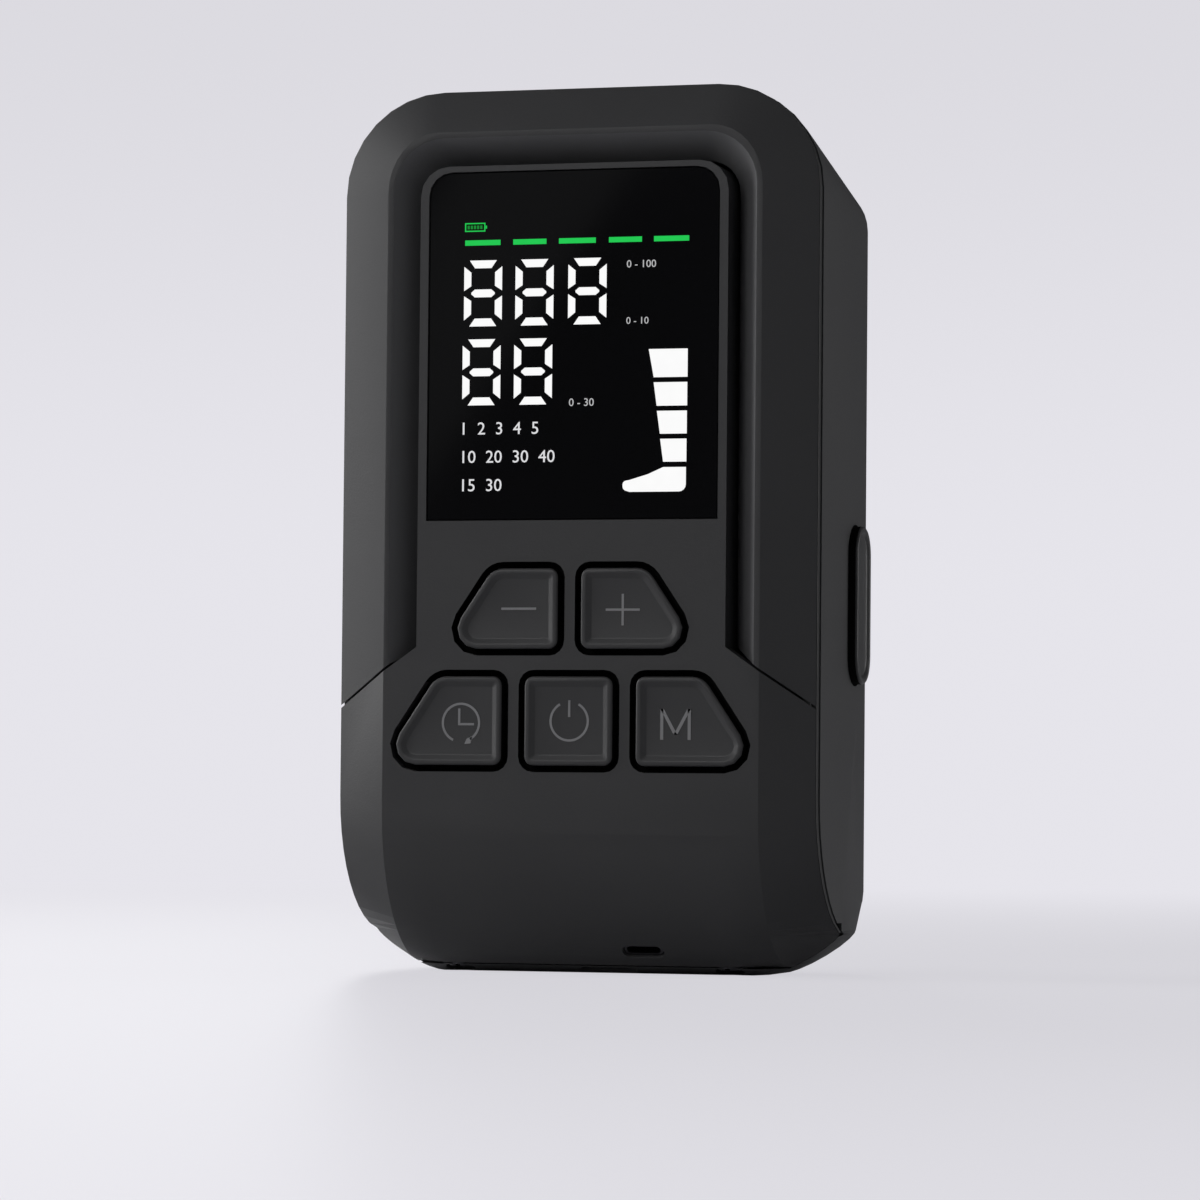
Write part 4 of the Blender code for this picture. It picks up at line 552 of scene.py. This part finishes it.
def finish_sheet(piece, material, body="casing", thickness=HAIR):
    """Gives a sheet its hair of thickness, its finish and what it rides on."""
    focus(piece)
    bpy.ops.object.mode_set(mode="EDIT")
    bpy.ops.mesh.select_all(action="SELECT")
    forward = {"value": (0, -mm(thickness), 0)}
    bpy.ops.mesh.extrude_region_move(TRANSFORM_OT_translate=forward)
    bpy.ops.mesh.select_all(action="SELECT")
    bpy.ops.mesh.normals_make_consistent(inside=False)
    bpy.ops.object.mode_set(mode="OBJECT")
    paint(piece, material)
    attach(piece, body)
    return piece


def merge(pieces, name):
    """Joins the sheets that make one figure."""
    deselect_all()
    for piece in pieces:
        piece.select_set(True)
    bpy.context.view_layer.objects.active = pieces[0]
    bpy.ops.object.join()
    pieces[0].name = name
    return pieces[0]


# %% [markdown]
# A seven-segment digit has three level bars and four upright ones. The bars meet at slanted ends with
# a wide gap between, so each is a trapezium. One digit is modelled from seven planes, and the other
# four are copies of it, each with its own mesh.

# %% One digit
DIGIT_WIDTH = 6.7
DIGIT_HEIGHT = 11.2
DIGIT_LEFT = -19.2
DIGIT_TOP = 120.65
BAR_HIGH = 1.33
BAR_WIDE = 1.25
END_INSET = 0.97
END_SLANT = 0.93
UPRIGHT_START = 1.05
UPRIGHT_SLANT = 1.0
UPRIGHT_MIDDLE_GAP = 0.45
TIP = 0.62


def level_bar(name, base, top, short_side):
    """A level bar whose ends slant inwards towards its short side."""
    left = DIGIT_LEFT + END_INSET
    right_x = DIGIT_LEFT + DIGIT_WIDTH - END_INSET
    bar = sheet(name, left, right_x, base, top)
    pull(bar, [(left, short_side)], (END_SLANT, 0))
    pull(bar, [(right_x, short_side)], (-END_SLANT, 0))
    return bar


def upright_bar(name, outer, inward, base, top, slant_low, slant_high):
    """An upright bar whose inner edge is shorter than its outer one."""
    inner = outer + inward * BAR_WIDE
    bar = sheet(name, min(outer, inner), max(outer, inner), base, top)
    pull(bar, [(inner, base)], (0, slant_low))
    pull(bar, [(inner, top)], (0, -slant_high))
    return bar


def first_digit(name):
    bottom = DIGIT_TOP - DIGIT_HEIGHT
    middle = (DIGIT_TOP + bottom) / 2
    bars = [
        level_bar("top_bar", DIGIT_TOP - BAR_HIGH, DIGIT_TOP, DIGIT_TOP - BAR_HIGH),
        level_bar("low_bar", bottom, bottom + BAR_HIGH, bottom + BAR_HIGH),
    ]
    left = DIGIT_LEFT + END_INSET + END_SLANT
    right_x = DIGIT_LEFT + DIGIT_WIDTH - END_INSET - END_SLANT
    half = BAR_HIGH / 2
    waist = sheet("middle_bar", left, right_x, middle - half, middle + half)
    for edge, way in ((left, -1), (right_x, 1)):
        grow(waist, [(edge, middle - half), (edge, middle + half)], (way * TIP, 0))
        pull(waist, [(edge + way * TIP, middle - half)], (0, half * 0.8))
        pull(waist, [(edge + way * TIP, middle + half)], (0, -half * 0.8))
    bars.append(waist)
    for outer, inward in ((DIGIT_LEFT, 1), (DIGIT_LEFT + DIGIT_WIDTH, -1)):
        high = (middle + UPRIGHT_MIDDLE_GAP, DIGIT_TOP - UPRIGHT_START)
        low = (bottom + UPRIGHT_START, middle - UPRIGHT_MIDDLE_GAP)
        bars.append(upright_bar("high_bar", outer, inward, *high, UPRIGHT_SLANT * 0.8, UPRIGHT_SLANT))
        bars.append(upright_bar("low_bar", outer, inward, *low, UPRIGHT_SLANT, UPRIGHT_SLANT * 0.8))
    return finish_sheet(merge(bars, name), digit_white)


def copy_of(piece, name, shift_x, shift_z):
    """A copy with its own mesh, moved by millimetres in that mesh."""
    copy = bpy.data.objects.new(name, piece.data.copy())
    bpy.context.scene.collection.objects.link(copy)
    copy.data.transform(Matrix.Translation((mm(shift_x), 0, mm(shift_z))))
    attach(copy, "casing")
    return copy


digit = first_digit("digit_upper_1")
print("One digit has", len(digit.data.polygons), "faces")

# %% The other digits
DIGIT_SHIFTS = {
    "digit_upper_2": (9.07, 0.0),
    "digit_upper_3": (18.35, 0.02),
    "digit_lower_1": (-0.15, -13.4),
    "digit_lower_2": (8.95, -13.4),
}
for name, (shift_x, shift_z) in DIGIT_SHIFTS.items():
    copy_of(digit, name, shift_x, shift_z)
print(len(DIGIT_SHIFTS) + 1, "digits")

# %% [markdown]
# Over the digits lies a row of five green bars that count the air chambers, and a small battery: a
# plane inset to leave a thin frame, a row of cells in it and a tip at its end.

# %% Chamber bars
BAR_BASE = 123.2
BAR_TOP = 124.1
BAR_ENDS = ((-19.1, -12.85), (-10.6, -4.75), (-2.55, 3.9), (6.2, 11.95), (14.05, 20.15))
for i, (start, end) in enumerate(BAR_ENDS):
    finish_sheet(sheet(f"chamber_bar_{i + 1}", start, end, BAR_BASE, BAR_TOP), bar_green)
print(len(BAR_ENDS), "chamber bars")

# %% Battery
BATTERY = (-19.15, -15.55, 125.55, 127.05)
FRAME_LINE = 0.2
CELL_COUNT = 5
CELL_PITCH = 0.56
CELL_WIDE = 0.38
outline = sheet("battery_outline", *BATTERY)
focus(outline)
bpy.ops.object.mode_set(mode="EDIT")
bpy.ops.mesh.select_all(action="SELECT")
bpy.ops.mesh.inset(thickness=mm(FRAME_LINE))
bpy.ops.mesh.delete(type="FACE")
bpy.ops.object.mode_set(mode="OBJECT")
finish_sheet(outline, bar_green)

cells = []
for i in range(CELL_COUNT):
    start = BATTERY[0] + 0.45 + i * CELL_PITCH
    cells.append(sheet("battery_cell_mark", start, start + CELL_WIDE, 126.0, 126.6))
finish_sheet(merge(cells, "battery_bars"), dim_green)
tip = sheet("battery_tip", BATTERY[1] + 0.04, BATTERY[1] + 0.28, 126.05, 126.55)
finish_sheet(tip, bar_green)
print("Battery outline with", CELL_COUNT, "cells")

# %% [markdown]
# At the right of the display a leg in four lit bands and a foot shows which chamber is filling. Each
# band is a plane whose left corners are pulled along the shin; the foot's toe is grown out of its left
# edge in three steps, and its heel and toe are then rounded.

# %% Leg bands
LEG_RIGHT = 20.05
BANDS = (
    (13.3, 105.1, 14.2, 100.35),
    (14.2, 99.5, 14.75, 95.55),
    (14.8, 94.7, 15.35, 90.85),
    (15.4, 90.0, 15.95, 86.15),
)
for i, (top_x, top, low_x, low) in enumerate(BANDS):
    band = sheet(f"leg_band_{i + 1}", top_x, LEG_RIGHT - 0.03 * i, low, top)
    pull(band, [(top_x, low)], (low_x - top_x, 0))
    finish_sheet(band, digit_white)
print(len(BANDS), "leg bands")

# %% Foot
FOOT_TOP = 85.25
FOOT_BASE = 81.15
ANKLE_X = 15.95
HEEL_X = 19.9
TOE_STEPS = ((-2.6, -1.15, 0.0), (-3.2, -0.95, 0.0), (-1.2, -0.2, 0.35))
foot = sheet("leg_foot", ANKLE_X, HEEL_X, FOOT_BASE, FOOT_TOP)
edge_x, edge_top, edge_base = ANKLE_X, FOOT_TOP, FOOT_BASE
for step_x, drop, rise in TOE_STEPS:
    grow(foot, [(edge_x, edge_top), (edge_x, edge_base)], (step_x, 0))
    edge_x += step_x
    pull(foot, [(edge_x, edge_top)], (0, drop))
    pull(foot, [(edge_x, edge_base)], (0, rise))
    edge_top += drop
    edge_base += rise
round_corners(foot, [(HEEL_X, FOOT_BASE)], 1.2)
round_corners(foot, [(edge_x, edge_top), (edge_x, edge_base)], 0.55)
finish_sheet(foot, digit_white)
print("The foot has", len(foot.data.polygons), "faces")

# %% [markdown]
# Three rows of plain numbers stand below the digits, and small ones beside them. Type is quickest as a
# text object: it is given a hair of depth, made a mesh, and only then stood upright and moved, so that
# its place ends up in its mesh.


# %% Numbers
def number_row(name, words, left, base, height, material):
    """Plain numbers of this height in millimetres, standing on a base line."""
    deselect_all()
    bpy.ops.object.text_add()
    row = bpy.context.object
    row.name = name
    row.data.body = words
    row.data.size = mm(height / 0.72)
    row.data.extrude = mm(HAIR / 2)
    row.data.resolution_u = 3
    focus(row)
    bpy.ops.object.convert(target="MESH")
    row = bpy.context.object
    row.rotation_euler = (math.pi / 2, 0, 0)
    row.location = (mm(left), LENS_Y - mm(HAIR / 2), mm(base))
    bpy.ops.object.transform_apply(location=True, rotation=True, scale=True)
    bpy.ops.object.mode_set(mode="EDIT")
    bpy.ops.mesh.select_all(action="SELECT")
    bpy.ops.mesh.remove_doubles(threshold=mm(0.001))
    bpy.ops.mesh.normals_make_consistent(inside=False)
    bpy.ops.object.mode_set(mode="OBJECT")
    paint(row, material)
    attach(row, "casing")
    print(name, "is", round(row.dimensions.x / MM, 1), "mm wide")
    return row


NUMBER_ROWS = (
    ("number_row_1", "1  2  3  4  5", -19.8, 91.1, 2.15, number_white),
    ("number_row_2", "10  20  30  40", -19.8, 86.3, 2.15, number_white),
    ("number_row_3", "15  30", -19.8, 81.5, 2.15, number_white),
    ("number_beside_1", "0 - 100", 9.3, 118.9, 1.3, label_grey),
    ("number_beside_2", "0 - 10", 9.3, 109.4, 1.2, label_grey),
    ("number_beside_3", "0 - 30", -0.6, 95.7, 1.35, label_grey),
)
for row in NUMBER_ROWS:
    number_row(*row)

# %% [markdown]
# Key legends are printed in grey in the dished middle of each key: a minus, a plus, a clock, a power
# sign and a letter M for mode. Straight strokes are sheets; a slanted one is a sheet whose lower
# corners are pulled aside. Open rings start as a circle, lose the corners in their gap, and get their
# width by extruding the line outwards from the centre.

# %% Strokes
LINE = 0.38
KEY_FLOOR_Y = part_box("key_power")[0].y + mm(0.5)
RING_STEPS = 72


def stroke(left, right_x, base, top, lean=0.0):
    """A straight stroke, with its lower end pulled sideways by lean."""
    made = sheet("stroke", left, right_x, base, top, KEY_FLOOR_Y)
    if lean:
        pull(made, [(left, base), (right_x, base)], (lean, 0))
    return made


def open_ring(centre_x, centre_z, radius, gap_middle, gap_half):
    """A thin ring with a gap, whose middle and half width are angles in degrees."""
    deselect_all()
    place = (mm(centre_x), KEY_FLOOR_Y, mm(centre_z))
    inner = mm(radius - LINE / 2)
    bpy.ops.mesh.primitive_circle_add(
        vertices=RING_STEPS, radius=inner, location=place, rotation=(math.pi / 2, 0, 0)
    )
    ring = bpy.context.object
    bpy.ops.object.transform_apply(location=True, rotation=True, scale=True)
    bpy.ops.object.mode_set(mode="EDIT")
    bpy.ops.mesh.select_mode(type="VERT")
    bpy.ops.mesh.select_all(action="DESELECT")
    mesh = bmesh.from_edit_mesh(ring.data)
    for corner in mesh.verts:
        away = math.degrees(math.atan2(corner.co.z - place[2], corner.co.x - place[0]))
        off = (away - gap_middle + 180) % 360 - 180
        corner.select = abs(off) < gap_half
    mesh.select_flush(True)
    bmesh.update_edit_mesh(ring.data)
    bpy.ops.mesh.delete(type="VERT")
    bpy.ops.mesh.select_all(action="SELECT")
    widen = (radius + LINE / 2) / (radius - LINE / 2)
    bpy.ops.mesh.extrude_region_move()
    bpy.ops.transform.resize(value=(widen, 1, widen), center_override=place)
    bpy.ops.object.mode_set(mode="OBJECT")
    return ring


def legend(name, key, strokes):
    sign = merge(strokes, name) if len(strokes) > 1 else strokes[0]
    sign.name = name
    finish_sheet(sign, legend_grey, key + "_body")
    print(name, len(sign.data.polygons), "faces")


# %% Minus and plus
HALF_LINE = LINE / 2
legend("minus_sign", "key_minus", [stroke(-12.0, -5.9, 61.6 - HALF_LINE, 61.6 + HALF_LINE)])
PLUS_X, PLUS_Z = 9.22, 61.4
legend(
    "plus_sign",
    "key_plus",
    [
        stroke(PLUS_X - 2.95, PLUS_X + 2.95, PLUS_Z - HALF_LINE, PLUS_Z + HALF_LINE),
        stroke(PLUS_X - HALF_LINE, PLUS_X + HALF_LINE, PLUS_Z + HALF_LINE, PLUS_Z + 2.65),
        stroke(PLUS_X - HALF_LINE, PLUS_X + HALF_LINE, PLUS_Z - 2.65, PLUS_Z - HALF_LINE),
    ],
)

# %% Clock
CLOCK_X, CLOCK_Z, CLOCK_RADIUS = -18.93, 42.35, 3.2
ARROW_ANGLE = math.radians(-62)
arrow_x = CLOCK_X + CLOCK_RADIUS * math.cos(ARROW_ANGLE)
arrow_z = CLOCK_Z + CLOCK_RADIUS * math.sin(ARROW_ANGLE)
ARROW = (-0.85, 0.55, -0.75, 0.65)
arrow_left, arrow_right = arrow_x + ARROW[0], arrow_x + ARROW[1]
arrow_low, arrow_high = arrow_z + ARROW[2], arrow_z + ARROW[3]
arrow = sheet("arrow", arrow_left, arrow_right, arrow_low, arrow_high, KEY_FLOOR_Y)
pull(arrow, [(arrow_right, arrow_low)], (-0.35, 0.1))
pull(arrow, [(arrow_left, arrow_high)], (0.35, -0.55))
legend(
    "clock_sign",
    "key_timer",
    [
        open_ring(CLOCK_X, CLOCK_Z, CLOCK_RADIUS, -86, 25),
        stroke(CLOCK_X - 0.5, CLOCK_X - 0.12, CLOCK_Z - 0.05, CLOCK_Z + 2.4),
        stroke(CLOCK_X - 0.5, CLOCK_X + 2.3, CLOCK_Z - 0.43, CLOCK_Z - 0.05),
        arrow,
    ],
)

# %% Power sign
legend(
    "power_sign",
    "key_power",
    [open_ring(0.07, 42.7, 3.25, 90, 27), stroke(0.07 - HALF_LINE, 0.07 + HALF_LINE, 43.4, 46.2)],
)

# %% Letter M for mode
M_LEFT, M_RIGHT, M_BASE, M_TOP, M_DIP = 15.9, 21.15, 39.65, 44.8, 40.5
M_MIDDLE = (M_LEFT + M_RIGHT) / 2
M_LINE = 0.52
SLANT_WIDE = M_LINE * 1.15
legend(
    "mode_sign",
    "key_mode",
    [
        stroke(M_LEFT, M_LEFT + M_LINE, M_BASE, M_TOP),
        stroke(M_RIGHT - M_LINE, M_RIGHT, M_BASE, M_TOP),
        stroke(M_LEFT, M_LEFT + SLANT_WIDE, M_DIP, M_TOP, M_MIDDLE - M_LEFT - SLANT_WIDE / 2),
        stroke(M_RIGHT - SLANT_WIDE, M_RIGHT, M_DIP, M_TOP, M_MIDDLE - M_RIGHT + SLANT_WIDE / 2),
    ],
)

# %% [markdown]
# The studio: a pale floor that fades into the background without a horizon line. Near the casing the
# floor is lit paper, so it keeps the soft shadow; farther off it turns into the plain background
# colour for the eye alone, so that the background adds no light to the object.

# %% Floor
BACKDROP = (0.79, 0.78, 0.83)
BACKDROP_HIGH = (0.715, 0.705, 0.75)
FLOOR_GLOW = (0.81, 0.80, 0.85)
FLOOR_SIZE = 6.0
NEAR_GLOW = 0.76
deselect_all()
bpy.ops.mesh.primitive_plane_add(size=FLOOR_SIZE, location=(0, FLOOR_SIZE / 4, 0))
floor = bpy.context.object
floor.name = "floor"
bpy.ops.object.transform_apply(location=True, rotation=True, scale=True)
paper = Finish("floor_paper")
fibre = paper.noise(900.0, 2.0)
paper.set(
    Base_Color=paper.blend(fibre, (0.63, 0.625, 0.66), (0.65, 0.645, 0.68)),
    Roughness=0.38,
    Normal=paper.bump(fibre, 0.03, mm(0.1)),
)
place = paper.node("ShaderNodeTexCoord", output="Object")
spread = paper.node("ShaderNodeMapping", None, {"Vector": place, "Scale": (1.0, 0.8, 1.0)})
distance = paper.node("ShaderNodeVectorMath", {"operation": "LENGTH"}, {0: spread}, output=1)
fade_sockets = {0: distance, 1: 0.12, 2: 0.75, 3: NEAR_GLOW, 4: 1.0}
fade = paper.node("ShaderNodeMapRange", {"interpolation_type": "SMOOTHSTEP"}, fade_sockets)
seen = paper.node("ShaderNodeLightPath", output="Is Camera Ray")
glow_colour = paper.blend(fade, FLOOR_GLOW, BACKDROP)
glow = paper.node("ShaderNodeEmission", None, {"Color": glow_colour, "Strength": 1.0})
lit_paper = Wire(paper, paper.shader.outputs[0])
mixed = paper.node("ShaderNodeMixShader", None, {0: fade * seen, 1: lit_paper, 2: glow})
paper.feed(paper.tree.nodes["Material Output"].inputs["Surface"], mixed)
paint(floor, paper.material)
print("Floor of", FLOOR_SIZE, "m")

# %% [markdown]
# The world is the same pale colour wherever it is seen directly or through something clear. Gloss
# sees a weak share of it, and everything else gets only a low even fill, so the lamps shape the form.

# %% World
FILL = 0.05
GLOSS_SHARE = 0.04
world = bpy.data.worlds.new("studio")
bpy.context.scene.world = world
world.use_nodes = True
sky = Maker(world.node_tree)
towards = sky.node("ShaderNodeTexCoord", output="Generated")
height = sky.node("ShaderNodeSeparateXYZ", None, {0: towards}, output=2)
rise = sky.node("ShaderNodeMapRange", {"interpolation_type": "SMOOTHSTEP"}, {0: height, 1: 0.04, 2: 0.17})
graded = sky.blend(rise, BACKDROP, BACKDROP_HIGH)
plain = sky.node("ShaderNodeBackground", None, {"Color": graded, "Strength": 1.0})
dim = sky.node("ShaderNodeBackground", None, {"Color": (0.92, 0.94, 1.0, 1.0), "Strength": FILL})
direct = sky.node("ShaderNodeLightPath", output="Is Camera Ray")
through = sky.node("ShaderNodeLightPath", output="Is Transmission Ray")
gloss = sky.node("ShaderNodeLightPath", output="Is Glossy Ray")
share = direct + through + gloss * GLOSS_SHARE
either = sky.node("ShaderNodeMixShader", None, {0: share, 1: dim, 2: plain})
sky.feed(world.node_tree.nodes["World Output"].inputs["Surface"], either)
print("World fill", FILL)

# %% [markdown]
# Most light comes from large soft lamps on the left, which brighten the left flank and leave the right
# one dark. Weak lamps in front and above fill the face, a narrow one behind at the right draws the
# right side, and one at the back keeps the rear readable.


# %% Lamps
def area_lamp(name, place, target, width, height, power):
    data = bpy.data.lights.new(name, "AREA")
    data.shape = "RECTANGLE"
    data.size = width
    data.size_y = height
    data.energy = power
    lamp = bpy.data.objects.new(name, data)
    bpy.context.scene.collection.objects.link(lamp)
    way = (Vector(target) - Vector(place)).to_track_quat("-Z", "Y")
    lamp.matrix_world = Matrix.Translation(place) @ way.to_matrix().to_4x4()
    print(name, power, "W")
    return lamp


MIDDLE = (0, 0, 0.08)
area_lamp("left_lamp", (-1.1, -0.1, 0.3), MIDDLE, 0.6, 0.9, 11.0)
area_lamp("left_front_lamp", (-1.05, -0.32, 0.3), MIDDLE, 0.6, 0.9, 4.2)
area_lamp("front_lamp", (-0.4, -1.1, 0.62), MIDDLE, 0.7, 0.45, 5.4)
area_lamp("right_lamp", (0.8, -0.8, 0.45), MIDDLE, 0.7, 0.7, 0.85)
area_lamp("rim_lamp", (0.9, 0.55, 0.12), MIDDLE, 0.3, 0.6, 5.4)
area_lamp("rear_lamp", (-0.65, 1.1, 0.6), MIDDLE, 0.6, 0.8, 6.0)

# %% [markdown]
# The lens mirrors a pale board that stands in front at the left. Its slanted edge shows as a faint
# diagonal across the upper left of the display. A lamp of next to no power does this: the edge runs
# through two points found by mirroring the eye in the lens.

# %% The board that the lens mirrors
BOARD_Y = -0.75
BOARD_WIDTHS = (0.018, 0.032, 0.05)
BOARD_LONG = 0.24
BOARD_GLOW = 0.17
mirrored_eye = Vector((eye.x, 2 * LENS_Y - eye.y, eye.z))


def mirrored(x, z):
    """Where the eye's line to a point on the lens goes on to, in the plane of the board."""
    ray = Vector((mm(x), LENS_Y, mm(z))) - mirrored_eye
    return mirrored_eye + ray * ((BOARD_Y - mirrored_eye.y) / ray.y)


high_end = mirrored(9.3, 134.9)
low_end = mirrored(-1.3, 119.4)
along = (high_end - low_end).normalized()
outward = Vector((-along.z, 0, along.x))
board_turn = Matrix((outward, along, Vector((0, -1, 0)))).transposed()
for i, width in enumerate(BOARD_WIDTHS):
    board_middle = low_end + outward * width / 2
    power = BOARD_GLOW * math.pi * width * BOARD_LONG
    board = area_lamp(f"board_{i + 1}", board_middle, MIDDLE, width, BOARD_LONG, power)
    board.matrix_world = Matrix.Translation(board_middle) @ board_turn.to_4x4()
